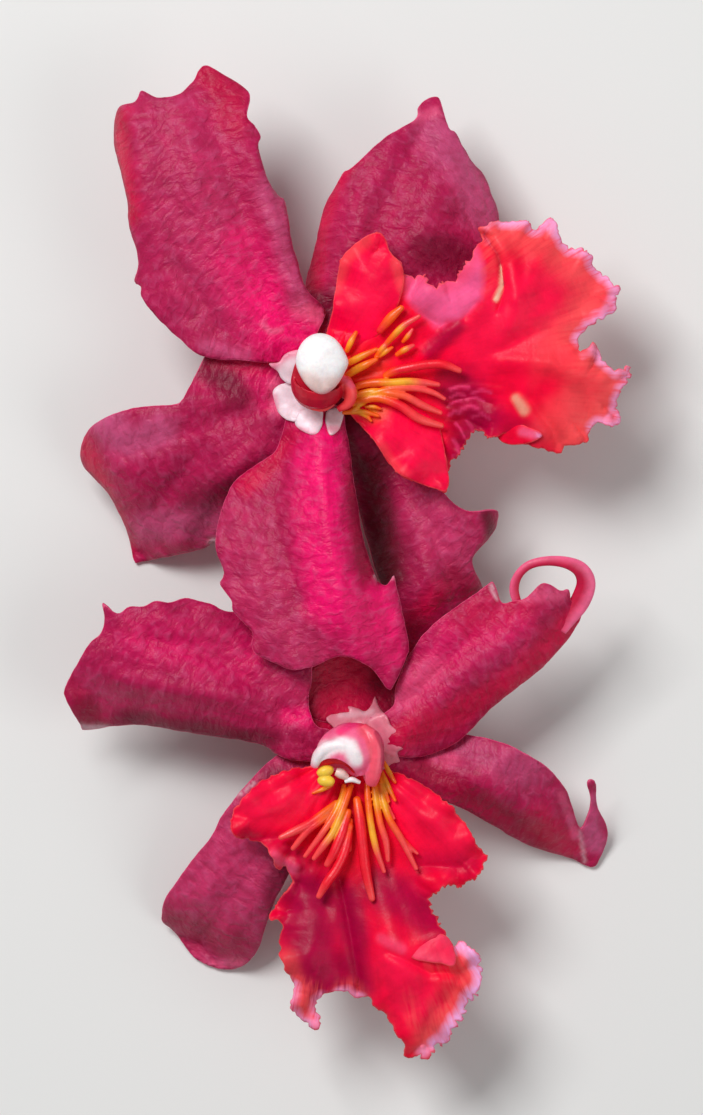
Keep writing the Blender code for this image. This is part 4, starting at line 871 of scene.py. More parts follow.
# Columns, from their bloom's centre and their foot, in millimetres: trunk (places and radii)
COLUMN_BODIES = {
    "upper_bloom_column": (
        [(0, 0, 0), (0, 0, 0.5), (-0.3, 0.0, 1.8), (-0.5, 0.1, 3.4), (-0.4, 1.4, 4.6),
         (-0.4, 1.4, 5.3)],
        [2.2, 2.4, 3.0, 3.4, 3.2, 3.0],
    ),
    "lower_bloom_column": (
        [(0, 0, 0), (0, 0, 0.5), (-0.2, -0.2, 1.8), (-0.3, -0.4, 3.2), (-0.3, -0.6, 4.0)],
        [2.2, 2.4, 3.1, 3.0, 2.0],
    ),
}

# Egg shapes on the columns: centre, half sizes, turn in radians
COLUMN_BALLS = {
    "upper_wing": ((3.0, -0.4, 3.2), (1.0, 1.5, 1.2), 0.0),
    "cap": ((-0.1, 2.5, 6.7), (3.15, 3.8, 1.9), 0.1),
    "hood": ((-0.2, -0.6, 3.4), (4.3, 3.4, 2.8), 0.25),
    "lower_wing": ((2.7, -2.4, 3.2), (1.3, 2.4, 1.6), -0.25),
    "hollow": ((-1.9, -3.9, 4.1), (2.55, 3.0, 2.7), 0.0),
    "mass_high": ((-3.3, -3.2, 3.4), (1.1, 0.75, 0.8), 0.3),
    "mass_low": ((-3.2, -4.4, 3.3), (1.1, 0.75, 0.8), -0.1),
}
TRUNK_MESH = (32, 0.4)

# Anther cap: its seat above the foot, how much it narrows in front, a bulge (width, place and size
# along the cap) and a dimple (depth, place and size across and along it)
CAP_SEAT = 5.3
CAP_TAPER = 0.22
CAP_BULGE = (0.25, 0.2, 1.1)
CAP_DIMPLE = (0.25, (0.3, 0.6), (-2.4, 1.6))

# Tubes on the columns: path in photo pixels, heights above the foot, radii, sides and step
COLUMN_TUBES = {
    "fold": (
        [(338, 378), (347, 385), (351, 394), (348, 404), (338, 410)],
        [4.6, 4.5, 4.2, 3.8, 3.4], [0.45, 0.75, 0.8, 0.65, 0.4], 16, 0.3,
    ),
    "rim": (
        [(295, 372), (295, 386), (301, 399), (312, 408), (324, 410), (334, 405)],
        [4.5, 4.4, 4.1, 3.9, 3.9, 3.9], [0.2, 0.26, 0.28, 0.28, 0.26, 0.2], 16, 0.3,
    ),
    "band": (
        [(362, 727), (373, 738), (376, 755), (373, 774), (371, 783)],
        [4.1, 4.7, 4.5, 4.1, 3.5], [0.7, 0.95, 1.0, 0.95, 0.75], 20, 0.3,
    ),
    "brow": (
        [(314, 766), (320, 753), (334, 745), (350, 748), (359, 762), (361, 774)],
        [3.8, 4.6, 5.1, 5.2, 4.6, 4.0], [0.5, 0.8, 0.95, 0.95, 0.8, 0.5], 20, 0.3,
    ),
    # The arch's red is painted shade: the inside top of the hollow
    "arch": (
        [(321, 768), (327, 759), (338, 756), (349, 760), (356, 770)],
        [2.7, 3.2, 3.4, 3.2, 2.7], [0.5, 0.75, 0.9, 0.8, 0.5], 20, 0.2,
    ),
    "stigma": ([(336, 771), (341, 773), (347, 777)], [3.2, 3.2, 2.9], [0.5, 0.65, 0.4], 20, 0.2),
    "shelf": ([(345, 781), (352, 779), (360, 782)], [2.9, 3.1, 2.9], [0.22, 0.35, 0.22], 20, 0.2),
}

# Stalk path, tip radius, sides and step; ovaries with the place of their pedicel's foot and their top
STALK_PATH = [(-2.5, 27.0), (-2.4, 14.0), (-1.4, -4.0), (-0.6, -24.0), (-1.2, -40.0), (-1.8, -51.0)]
STALK_TIP = 1.5
STALK_MESH = (48, 0.7)
OVARIES = (
    ("upper_bloom_ovary", (1.0, -6.0), UPPER_JUNCTION),
    ("lower_bloom_ovary", (-0.9, -6.0), LOWER_JUNCTION),
)

# Pedicels and ovaries: share of the foot's place, height above the foot or depth below the top, radius
PEDICEL = ((1.0, 0.0, 1.25), (1.0, 1.6, 1.2), (0.6, 4.0, 1.3))
OVARY = (
    (0.15, 5.2, 1.8), (0.0, 3.4, JUNCTION_RADIUS), (0.0, 1.2, JUNCTION_RADIUS),
    (0.0, 0.0, JUNCTION_RADIUS),
)
OVARY_MESH = (36, 0.5)

# Purple flush of the stems: its mean, strength, size in millimetres and seed
FLUSH = (0.45, 0.6, 7.0, 5)

# Marks on the columns, as on the blades
COLUMN_MARKS = {
    "upper_bloom_column": [
        # Painted shade inside the cup under the anther cap
        ([(296, 372), (300, 398), (316, 408), (334, 400)], 14, "shade_red", 0.8),
        ([(346, 380), (354, 392), (348, 408)], 8, "finger_tip", 0.95),
        ([(342, 376), (352, 386)], 4, "pink", 0.5),
    ],
    "upper_bloom_anther_cap": [
        # Painted shade on the lower part of the cap, cream and pink
        ([(306, 386), (322, 394), (332, 390)], 14, "wax_cream", 0.9),
        ([(308, 396), (322, 402), (332, 396)], 6, "pink", 0.45),
    ],
    "lower_bloom_column": [
        ([(318, 758), (326, 748), (338, 743), (350, 746), (356, 758)], 8.5, "wax_white", 0.92),
        ([(330, 734), (346, 727), (356, 726)], 6, "pink", 0.8),
        ([(340, 731), (352, 724), (364, 722)], 4, "hot", 0.7),
        ([(366, 728), (374, 746), (374, 782)], 9, "finger_tip", 0.6),
        ([(376, 732), (383, 748), (383, 768)], 2.4, "crimson", 0.6),
        ([(362, 740), (366, 756), (366, 768)], 3.5, "pink", 0.7),
    ],
}

# Skins of the blades: strengths and colours of their veins, of the painted highlight on raised
# puckers and painted shade in their hollows, and of their margins; puckers a millimetre and their
# height in millimetres; gloss is the specular level and subsurface its weight
SKINS = {
    "tepal": {
        "veins": 0.10, "pucker_shading": 0.30, "pucker_highlight_colour": "lilac", "puckers": 0.9, "pucker_height": 0.48,
        "margin_colour": "pink", "margin_width": 0.14, "roughness": 0.42, "gloss": 0.22,
        "subsurface": 0.08,
    },
    "lip": {
        "veins": 0.08, "pucker_shading": 0.08, "pucker_highlight_colour": "luminous", "puckers": 0.8,
        "pucker_height": 0.10, "margin_colour": "salmon", "margin_width": 0.22, "roughness": 0.38,
        "gloss": 0.13, "subsurface": 0.15,
    },
}

# Waxy skins: roughness, grain height in millimetres, subsurface weight
FLESH = {
    "column_flesh": (0.36, 0.08, 0.15),
    "callus_flesh": (0.34, 0.08, 0.12),
    "loop_skin": (0.45, 0.12, 0.15),
    "cap_wax": (0.32, 0.05, 0.3),
    "pollen_wax": (0.4, 0.1, 0.2),
    "stem_skin": (0.5, 0.2, 0.1),
}
ROUGHNESS_SPREAD = (0.06, 0.1)

# Noises of the skins: scale, detail, roughness, distortion
NOISES = {
    "fan": (1.0, 2.0, 0.6), "blotch": (0.35, 3.0, 0.6), "margin": (1.3, 2.0), "grain": (5.0, 2.0, 0.6),
    "flesh_blotch": (0.9, 3.0, 0.6), "flesh_grain": (3.2, 3.0, 0.6),
}
PUCKER_NOISE = (2.5, 0.5, 0.35)

# Ramps of the skins: from, to, and the value at either end
RAMPS = {
    "blotch": (0.3, 0.7, 0.84, 1.12), "flesh_blotch": (0.3, 0.7, 0.86, 1.08),
    "deep_green": (0.15, 0.45, 1.0, 0.0), "deep_blue": (0.05, 0.09, 0.2, 1.0),
    "near_margin": (0.5, 5.0, 1.0, 0.0), "salmon_streak": (0.36, 0.58, 0.0, 0.9),
    "at_margin": (-0.8, 0.3, 1.0, 0.0), "lilac_streak": (0.36, 0.52, 0.35, 1.0),
}
FRILL_DEPTH = 1.2

# Where the painted highlight and painted shade on the puckers, veins and grain start and end; the
# margin's range is in margin widths
PUCKER_HIGHLIGHT_RANGE = (0.5, 0.68)
PUCKER_SHADE_RANGE = (0.48, 0.34)
PUCKER_SHADE_SHARE = 0.8
VEIN_RANGE = (0.45, 0.65)
GRAIN_RANGE = (0.3, 0.7)
MARGIN_RANGE = (0.4, 1.3)
MARGIN_STRENGTH = 0.7

# Bumps: shares of grain and veins beside the puckers, strength on blades and on flesh
GRAIN_BUMP = 0.12
VEIN_BUMP = 0.15
TISSUE_BUMP = 0.8
FLESH_BUMP = 0.35

# Light under the skin: how far each colour of it reaches, and the scale in millimetres
TISSUE_GLOW = (1.0, 0.2, 0.3)
TISSUE_GLOW_SCALE = 0.6
FLESH_GLOW = (1.0, 0.5, 0.4)
FLESH_GLOW_SCALE = 0.8

# Veins and finer streaks (how many a radian, how fast they change outwards), then wrinkles (along the
# arc and outwards)
FANS = ((26.0, 0.10), (75.0, 0.22))
RING = (0.8, 1.2)

# Sockets of the colour mix node: share and both colours, and the result
MIX_INPUTS = (0, 6, 7)
MIX_OUTPUT = 2

# Materials made so far
MADE = {}


def centre_of(name):
    """Middle of the bloom that a piece belongs to."""
    return np.array(UPPER_CENTRE if name.startswith("upper") else LOWER_CENTRE)


def foot_of(name):
    """Height at which the column of a piece's bloom starts."""
    return (UPPER_JUNCTION if name.startswith("upper") else LOWER_JUNCTION) + GAP


def piece_seed(name):
    """Small number that differs from piece to piece."""
    return sum(ord(letter) for letter in name) % SEED_COUNT


def kind_of(name):
    """Sort of tissue a blade is made of."""
    return "lip" if name.endswith("lip") else "tepal"


def to_photo(points):
    """Photo pixels of plan points given in the part's millimetres."""
    return np.c_[
        PHOTO_ORIGIN[0] + points[:, 0] * PX_PER_MM, PHOTO_ORIGIN[1] - points[:, 1] * PX_PER_MM
    ]


def from_photo(pixels, centre):
    """Plan millimetres from a bloom's centre of places given in photo pixels."""
    offset = (np.array(pixels, float) - np.array(PHOTO_ORIGIN)) * (1, -1) / PX_PER_MM
    return offset - centre


def catmull(a, b, c, d, t):
    """Point at t between b and c on the smooth curve through a, b, c and d."""
    return 0.5 * (
        2 * b + (c - a) * t + (2 * a - 5 * b + 4 * c - d) * t ** 2 + (3 * b - a - 3 * c + d) * t ** 3
    )


def smooth_path(points, step, closed):
    """Points about a step apart on the smooth curve through the given ones."""
    points = np.array(points, float)
    count = len(points)
    if not closed:
        points = np.vstack([2 * points[0] - points[1], points, 2 * points[-1] - points[-2]])
    result = []
    for i in range(count if closed else count - 1):
        if closed:
            a, b, c, d = (points[(i + k) % count] for k in (-1, 0, 1, 2))
        else:
            a, b, c, d = points[i:i + 4]
        pieces = max(1, round(np.linalg.norm(c - b) / step))
        result += [catmull(a, b, c, d, k / pieces) for k in range(pieces)]
    if not closed:
        result.append(points[-2])
    return np.array(result)


def sheet_through(pins):
    """Height function of the smooth sheet through the pins."""
    pins = np.array(pins, float)
    places = pins[:, :2]
    count = len(pins)

    def bend(points):
        squares = ((points[:, None] - places[None]) ** 2).sum(-1)
        return 0.5 * squares * np.log(squares + TINY)

    plane = np.c_[np.ones(count), places]
    system = np.block([[bend(places), plane], [plane.T, np.zeros((3, 3))]])
    weights = np.linalg.solve(system, np.r_[pins[:, 2], np.zeros(3)])

    def height(points):
        flat = np.c_[np.ones(len(points)), points]
        return bend(points) @ weights[:count] + flat @ weights[count:]

    return height


def flank_drop(points, start, end, slope, radius):
    """Drop of the sheet beside a fold line; a negative slope folds the left side."""
    start = np.array(start, float)
    run = np.array(end, float) - start
    length = np.linalg.norm(run)
    run /= length
    offset = points - start
    along = offset @ run
    across = (offset[:, 0] * run[1] - offset[:, 1] * run[0]) * np.sign(slope)
    beyond = np.maximum(0, np.maximum(-along, along - length))
    fade = np.exp(-(beyond / FLANK_FADE) ** 2)
    return abs(slope) * radius * np.logaddexp(0, across / radius) * fade


def inside(points, outline):
    """Which points lie inside a closed outline."""
    result = np.zeros(len(points), bool)
    for (x1, y1), (x2, y2) in zip(outline, np.roll(outline, -1, axis=0)):
        if y1 != y2:
            crosses = (y1 > points[:, 1]) != (y2 > points[:, 1])
            at = x1 + (points[:, 1] - y1) * (x2 - x1) / (y2 - y1)
            result ^= crosses & (points[:, 0] < at)
    return result


def margin_distance(points, outline):
    """Distance of each point to the outline, how far round the nearest place is, and that place."""
    best = np.full(len(points), FAR)
    place = np.zeros(len(points))
    nearest = np.zeros((len(points), 2))
    travelled = 0.0
    for a, b in zip(outline, np.roll(outline, -1, axis=0)):
        run = b - a
        length = np.linalg.norm(run)
        share = np.clip(((points - a) @ run) / max(length, TINY) ** 2, 0, 1)
        spot = a + share[:, None] * run
        gap = np.linalg.norm(points - spot, axis=1)
        closer = gap < best
        best[closer] = gap[closer]
        place[closer] = travelled + share[closer] * length
        nearest[closer] = spot[closer]
        travelled += length
    return best, place, nearest


def path_distance(pixels, path):
    """Distance of each pixel place to an open path of pixels."""
    path = np.array(path, float)
    best = np.full(len(pixels), FAR)
    for a, b in zip(path[:-1], path[1:]):
        run = b - a
        share = np.clip(((pixels - a) @ run) / (run @ run + TINY), 0, 1)
        best = np.minimum(best, np.linalg.norm(pixels - a - share[:, None] * run, axis=1))
    return best


def spot_distance(pixels, place):
    """Distance of each pixel place to one place."""
    return np.linalg.norm(pixels - np.array(place, float), axis=1)


def cover_of(name):
    """Smooth outline of a blade, as fine as covering asks."""
    return smooth_path(OUTLINES[name], COVER_STEP, True)


def blade_height(name, points):
    """Height of a blade's middle surface at points given from its bloom's centre."""
    height = sheet_through(PINS[name])(points)
    for flank in FLANKS.get(name, ()):
        height = height - flank_drop(points, *flank)
    if name in WAVES:
        lift, length, reach = WAVES[name]
        gap, place, _ = margin_distance(points, cover_of(name))
        height = height + lift * np.sin(2 * math.pi * place / length) * np.exp(-(gap / reach) ** 2)
    for upper in UNDER.get(name, ()):
        there = points + (centre_of(name) - centre_of(upper))
        cover = cover_of(upper)
        gap, _, nearest = margin_distance(there, cover)
        covered = inside(there, cover)
        over = np.where(covered[:, None], there, nearest)
        ceiling = blade_height(upper, over) - CLEAR + CLEAR_RISE * np.where(covered, 0, gap)
        height = -CLEAR_SOFTNESS * np.logaddexp(-height / CLEAR_SOFTNESS, -ceiling / CLEAR_SOFTNESS)
    return REST_SOFTNESS * np.logaddexp(height / REST_SOFTNESS, REST_HEIGHT / REST_SOFTNESS)


def top_height(hosts, flat):
    """Height of the uppermost of some blades at points that lie on any of them."""
    best = blade_height(hosts[0], flat)
    for host in hosts:
        over = inside(flat, cover_of(host))
        best = np.where(over, np.maximum(best, blade_height(host, flat)), best)
    return best


def smooth_noise(points, size, seed, octaves=3):
    """Smooth deterministic noise of about -1 to 1 at millimetre points."""
    shift = Vector([seed * along for along in NOISE_SHIFT])
    return np.array([noise.fractal(Vector(p) / size + shift, 1.0, 2.0, octaves) for p in points])


def plan_noise(flat, size, seed, octaves=3):
    """The same noise at points of the plan."""
    return smooth_noise(np.c_[flat, np.zeros(len(flat))], size, seed, octaves)


def relief(name, flat, pixels, gap):
    """Height that folds, crumples and pleats add to a blade's sheet."""
    sort = kind_of(name)
    seed = piece_seed(name)
    rise = np.zeros(len(flat))
    for path, radius, height in FOLDS.get(name, ()):
        rise += FOLD_SCALE[sort] * height * np.exp(-(path_distance(pixels, path) / radius) ** 2)
    height, size = CRUMPLE[sort]
    rise += height * plan_noise(flat, size, seed)
    height, count = PLEATS[sort]
    turn = np.arctan2(flat[:, 1], flat[:, 0])
    sway = PLEAT_SWAY * plan_noise(flat, PLEAT_SWAY_SIZE, seed + PLEAT_SEED, 2)
    rise += height * np.sin(turn * count + sway) * np.exp(-(gap / PLEAT_REACH) ** 2)
    covered = np.zeros(len(flat), bool)
    for upper in UNDER.get(name, ()):
        covered |= inside(flat + centre_of(name) - centre_of(upper), cover_of(upper))
    return np.where(covered, COVERED_RELIEF * rise, rise)


def inwards(outline):
    """Direction inwards at each point of a counterclockwise outline."""
    along = np.roll(outline, -1, axis=0) - np.roll(outline, 1, axis=0)
    return np.c_[-along[:, 1], along[:, 0]] / (np.linalg.norm(along, axis=1)[:, None] + TINY)


def toothed(outline, depth, length, seed):
    """Outline with a fine uneven margin, cut inwards only."""
    cut = np.clip(TOOTH_SHARE + plan_noise(outline, length, seed), 0, TOOTH_LIMIT)
    return outline + inwards(outline) * (depth * cut)[:, None]


def notched(name, outline):
    """Outline with saw teeth or round scallops cut in at the places that NOTCHES names."""
    run = np.cumsum(np.linalg.norm(outline - np.roll(outline, 1, axis=0), axis=1))
    pixels = to_photo(outline + centre_of(name))
    for place, reach, period, depth, scalloped in NOTCHES.get(name, ()):
        share = np.clip((reach - spot_distance(pixels, place)) / NOTCH_FADE, 0, 1)
        phase = run / period + plan_noise(outline, NOTCH_UNREST, reach)
        cut = (1 - np.abs(np.sin(math.pi * phase))) ** 2 if scalloped else phase % 1
        outline = outline + inwards(outline) * (depth * share * cut)[:, None]
    return outline


def polygon_area(ring):
    """Signed area inside a closed ring, positive when it runs counterclockwise."""
    after = np.roll(ring, -1, axis=0)
    return 0.5 * float((ring[:, 0] * after[:, 1] - ring[:, 1] * after[:, 0]).sum())


def lattice(outline, cell):
    """Points of an even triangular grid inside an outline, clear of its margin."""
    low = outline.min(axis=0)
    high = outline.max(axis=0)
    rows = []
    for j, y in enumerate(np.arange(low[1], high[1], cell * math.sqrt(3) / 2)):
        xs = np.arange(low[0] + (j % 2) * cell / 2, high[0], cell)
        rows.append(np.c_[xs, np.full(len(xs), y)])
    grid = np.vstack(rows)
    grid = grid[inside(grid, outline)]
    gap, _, _ = margin_distance(grid, outline)
    return grid[gap > MARGIN_CLEARANCE * cell]


def open_sheet(outline, cell):
    """Even triangles that fill an outline: their corners and faces."""
    flat = np.vstack([outline, lattice(outline, cell)])
    count = len(outline)
    edges = [(i, (i + 1) % count) for i in range(count)]
    points, _, faces, _, _, _ = delaunay_2d_cdt([Vector(p) for p in flat], edges, [], 1, MERGE)
    return np.array([tuple(p) for p in points]), [tuple(f) for f in faces]


def raised_sheet(name, places, heights, faces):
    """Mesh of an open sheet that faces up, in metres."""
    mesh = bpy.data.meshes.new(name)
    mesh.from_pydata([tuple(v) for v in np.c_[places, heights] * MM], [], faces)
    build = bmesh.new()
    build.from_mesh(mesh)
    for face in build.faces:
        face.normal_update()
        if face.normal.z < 0:
            face.normal_flip()
    build.to_mesh(mesh)
    build.free()
    return mesh


def colour(name):
    """Linear colour of the palette, by the sRGB curve."""
    values = np.array(PALETTE[name]) / 255
    return np.where(values <= 0.04045, values / 12.92, ((values + 0.055) / 1.055) ** 2.4)


def covered_by(tint, shade, mask):
    """Tints with a palette colour laid over them by a mask."""
    return tint * (1 - mask[:, None]) + colour(shade) * mask[:, None]


def patch_mask(pixels, outline, softness):
    """How far each photo place lies within a patch, 0 to 1."""
    outline = np.array(outline, float)
    gap, _, _ = margin_distance(pixels, outline)
    depth = np.where(inside(pixels, outline), gap, -gap)
    return np.clip(0.5 + depth / (2 * softness), 0, 1)


def tint_at(base, marks, patches, pixels, flat, seed):
    """Colour at photo places: a base colour under soft marks and clear patches."""
    tint = np.tile(colour(base), (len(pixels), 1))
    wander = plan_noise(flat, MARK_UNREST_SIZE, seed)
    for path, radius, shade, strength in marks:
        away = path_distance(pixels, path) * (1 + MARK_UNREST * wander)
        tint = covered_by(tint, shade, strength * np.exp(-(away / radius) ** 3))
    for outline, softness, shade, strength in patches:
        shifted = pixels + PATCH_UNREST * wander[:, None]
        tint = covered_by(tint, shade, strength * patch_mask(shifted, outline, softness))
    return tint


def frill_at(name, pixels):
    """How strongly pale streaks show at places of a lip."""
    share = np.zeros(len(pixels))
    for place, reach, strength in FRILLS.get(name, ()):
        near = np.clip((reach - spot_distance(pixels, place)) / FRILL_FADE, 0, 1)
        share = np.maximum(share, strength * near)
    return share


def paint(mesh, tint):
    """Write linear colours to a mesh's tint attribute."""
    layer = mesh.attributes.new("tint", "FLOAT_COLOR", "POINT")
    layer.data.foreach_set("color", np.c_[tint, np.ones(len(tint))].ravel())


def write_leaf(mesh, flat, gap, frill):
    """Store where each point lies on its blade: angle, distance from the claw, margin, frill."""
    middle = flat.mean(axis=0)
    angle = np.arctan2(flat[:, 1], flat[:, 0]) - math.atan2(middle[1], middle[0])
    angle = (angle + math.pi) % (2 * math.pi) - math.pi
    leaf = mesh.attributes.new("leaf", "FLOAT_VECTOR", "POINT")
    leaf.data.foreach_set("vector", np.c_[angle, np.linalg.norm(flat, axis=1), gap].ravel())
    share = mesh.attributes.new("frill", "FLOAT", "POINT")
    share.data.foreach_set("value", frill)


def register(piece, slot, *nodes):
    """Shade a piece smooth, let it ride on the part and stand for its solids."""
    piece.data.shade_smooth()
    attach(piece, "root")
    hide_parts(*nodes)


def add_object(name, data):
    """New object of a mesh, camera or lamp in the scene."""
    piece = bpy.data.objects.new(name, data)
    bpy.context.scene.collection.objects.link(piece)
    return piece


def coat(mesh, material):
    """Give a mesh one material."""
    mesh.materials.clear()
    mesh.materials.append(material)


def thicken(piece, gap):
    """Give a sheet its thickness, thinner towards the margin."""
    body = piece.vertex_groups.new(name="body")
    for i, share in enumerate(np.clip(gap / EDGE_TAPER, 0, 1) ** TAPER_POWER):
        body.add([i], float(share), "REPLACE")
    thickness = piece.modifiers.new("thickness", "SOLIDIFY")
    thickness.thickness = BODY_THICKNESS * MM
    thickness.offset = 0
    thickness.vertex_group = body.name
    thickness.thickness_vertex_group = EDGE_THICKNESS / BODY_THICKNESS


def add_blade(name):
    """Fine sepal, petal or lip that stands for its solid."""
    sort = kind_of(name)
    cell = CELL[sort]
    seed = piece_seed(name)
    outline = smooth_path(OUTLINES[name], cell * MARGIN_STEP, True)
    outline = notched(name, toothed(outline, *TEETH[sort], seed + TOOTH_SEED))
    flat, faces = open_sheet(outline, cell)
    gap, _, _ = margin_distance(flat, outline)
    places = flat + centre_of(name)
    pixels = to_photo(places)
    heights = np.maximum(blade_height(name, flat) + relief(name, flat, pixels, gap), BLADE / 2)
    mesh = raised_sheet(name + "_fine", places, heights, faces)
    base = BASE_COLOUR.get(name, "rose")
    paint(mesh, tint_at(base, MARKS.get(name, ()), PATCHES.get(name, ()), pixels, flat, seed))
    write_leaf(mesh, flat, gap, frill_at(name, pixels))
    piece = add_object(name + "_fine", mesh)
    thicken(piece, gap)
    coat(mesh, tissue(sort))
    register(piece, "lips" if sort == "lip" else "tepals", name)


def add_overlay(name):
    """Lobe that lies over other blades."""
    hosts, shape, lifts, base, marks, sort, node = OVERLAYS[name]
    seed = piece_seed(name)
    centre = centre_of(name)
    ring = from_photo(shape, centre)
    if polygon_area(ring) < 0:
        ring = ring[::-1]
    outline = toothed(smooth_path(ring, OVERLAY_CELL * MARGIN_STEP, True), *OVERLAY_TEETH, seed)
    flat, faces = open_sheet(outline, OVERLAY_CELL)
    gap, _, _ = margin_distance(flat, outline)
    places = flat + centre
    pixels = to_photo(places)
    if isinstance(lifts, float):
        heights = sheet_through(np.c_[ring, top_height(hosts, ring) + lifts])(flat)
        heights = np.maximum(heights, top_height(hosts, flat) + OVERLAY_REST * lifts)
    else:
        pins = np.c_[from_photo([lift[:2] for lift in lifts], centre), [lift[2] for lift in lifts]]
        heights = blade_height(hosts[0], flat) + sheet_through(pins)(flat)
    height, size = OVERLAY_CRUMPLE
    mesh = raised_sheet(name, places, heights + height * plan_noise(flat, size, seed), faces)
    paint(mesh, tint_at(base, marks, (), pixels, flat, seed))
    write_leaf(mesh, flat, gap, np.zeros(len(flat)))
    piece = add_object(name, mesh)
    thicken(piece, gap)
    coat(mesh, flesh("column_flesh") if sort == "flesh" else tissue(sort))
    register(piece, {"lip": "lips", "tepal": "tepals", "flesh": "columns"}[sort], node)


class Nodes:
    """Short way to build a material's nodes."""

    def __init__(self, name):
        self.made = bpy.data.materials.new(name)
        self.made.use_nodes = True
        self.tree = self.made.node_tree
        self.shader = self.tree.nodes["Principled BSDF"]

    def add(self, kind, **settings):
        """New node with its settings."""
        node = self.tree.nodes.new(kind)
        for key, value in settings.items():
            setattr(node, key, value)
        return node

    def feed(self, socket, source):
        """Set a socket to a plain value, or link another node's output to it."""
        if isinstance(source, (int, float, tuple)):
            socket.default_value = source
        else:
            self.tree.links.new(source, socket)

    def feed_all(self, sockets, sources):
        """Feed several sockets in turn."""
        for socket, source in zip(sockets, sources):
            self.feed(socket, source)

    def shade(self, **sources):
        """Feed the shader's sockets, named with _ for a space."""
        for name, source in sources.items():
            self.feed(self.shader.inputs[name.replace("_", " ")], source)

    def calc(self, operation, a, b):
        """Sum, difference or product of two values."""
        node = self.add("ShaderNodeMath", operation=operation)
        self.feed_all(node.inputs, (a, b))
        return node.outputs[0]

    def times(self, a, b):
        """Product of two values."""
        return self.calc("MULTIPLY", a, b)

    def mix(self, share, a, b, blend="MIX"):
        """Mix of two colours."""
        node = self.add("ShaderNodeMix", data_type="RGBA", blend_type=blend)
        self.feed_all([node.inputs[k] for k in MIX_INPUTS], (share, a, b))
        return node.outputs[MIX_OUTPUT]

    def noise(self, vector, scale, detail=2.0, rough=0.5, warp=0.0):
        """Noise texture."""
        node = self.add("ShaderNodeTexNoise")
        names = ("Vector", "Scale", "Detail", "Roughness", "Distortion")
        self.feed_all([node.inputs[name] for name in names], (vector, scale, detail, rough, warp))
        return node.outputs["Fac"]

    def ramp(self, source, low, high, start, end):
        """Value that runs from start to end while the source runs from low to high."""
        node = self.add("ShaderNodeMapRange", clamp=True)
        self.feed_all(node.inputs, (source, low, high, start, end))
        return node.outputs[0]

    def vector(self, x, y):
        """Vector of two values."""
        node = self.add("ShaderNodeCombineXYZ")
        self.feed_all(node.inputs, (x, y))
        return node.outputs[0]

    def split(self, kind, source):
        """Parts of a vector or colour."""
        node = self.add(kind)
        self.feed(node.inputs[0], source)
        return node.outputs

    def grey(self, value):
        """Grey colour of one value."""
        node = self.add("ShaderNodeCombineColor")
        self.feed_all(node.inputs, (value, value, value))
        return node.outputs[0]

    def attribute(self, name, output):
        """Value stored on the mesh."""
        return self.add("ShaderNodeAttribute", attribute_name=name).outputs[output]

    def place(self):
        """Place on the object, in millimetres."""
        node = self.add("ShaderNodeVectorMath", operation="SCALE")
        self.feed(node.inputs[0], self.add("ShaderNodeTexCoord").outputs["Object"])
        self.feed(node.inputs["Scale"], 1 / MM)
        return node.outputs[0]

    def skin(self, grain, roughness, height, strength, distance):
        """Roughness that varies with the grain, and a bump of the given height."""
        low, high = ROUGHNESS_SPREAD
        self.shade(Roughness=self.ramp(grain, *GRAIN_RANGE, roughness - low, roughness + high))
        node = self.add("ShaderNodeBump")
        names = ("Height", "Strength", "Distance")
        self.feed_all([node.inputs[name] for name in names], (height, strength, distance * MM))
        self.shade(Normal=node.outputs["Normal"])


def rgba(name):
    """Linear colour of the palette with full cover."""
    return (*(float(v) for v in colour(name)), 1.0)


def veined(nodes):
    """Veins and streaks that fan out from the claw, a place for wrinkles across them, the margin."""
    angle, distance, margin = nodes.split("ShaderNodeSeparateXYZ", nodes.attribute("leaf", "Vector"))
    fans = []
    for across, along in FANS:
        place = nodes.vector(nodes.times(angle, across), nodes.times(distance, along))
        fans.append(nodes.noise(place, *NOISES["fan"]))
    arc, out = RING
    ring = nodes.vector(nodes.times(nodes.times(angle, distance), arc), nodes.times(distance, out))
    return fans[0], fans[1], ring, margin


def frilled(nodes, tone, margin, streaks):
    """Tone with salmon streaks and a broken lilac edge where the lip is frilled."""
    frill = nodes.attribute("frill", "Fac")
    near = nodes.ramp(margin, *RAMPS["near_margin"])
    band = nodes.times(near, nodes.ramp(streaks, *RAMPS["salmon_streak"]))
    tone = nodes.mix(nodes.times(frill, band), tone, rgba("salmon"))
    reach = nodes.calc("SUBTRACT", margin, nodes.times(frill, FRILL_DEPTH))
    near = nodes.ramp(reach, *RAMPS["at_margin"])
    edge = nodes.times(near, nodes.ramp(streaks, *RAMPS["lilac_streak"]))
    return nodes.mix(nodes.times(frill, edge), tone, rgba("lilac_white"))


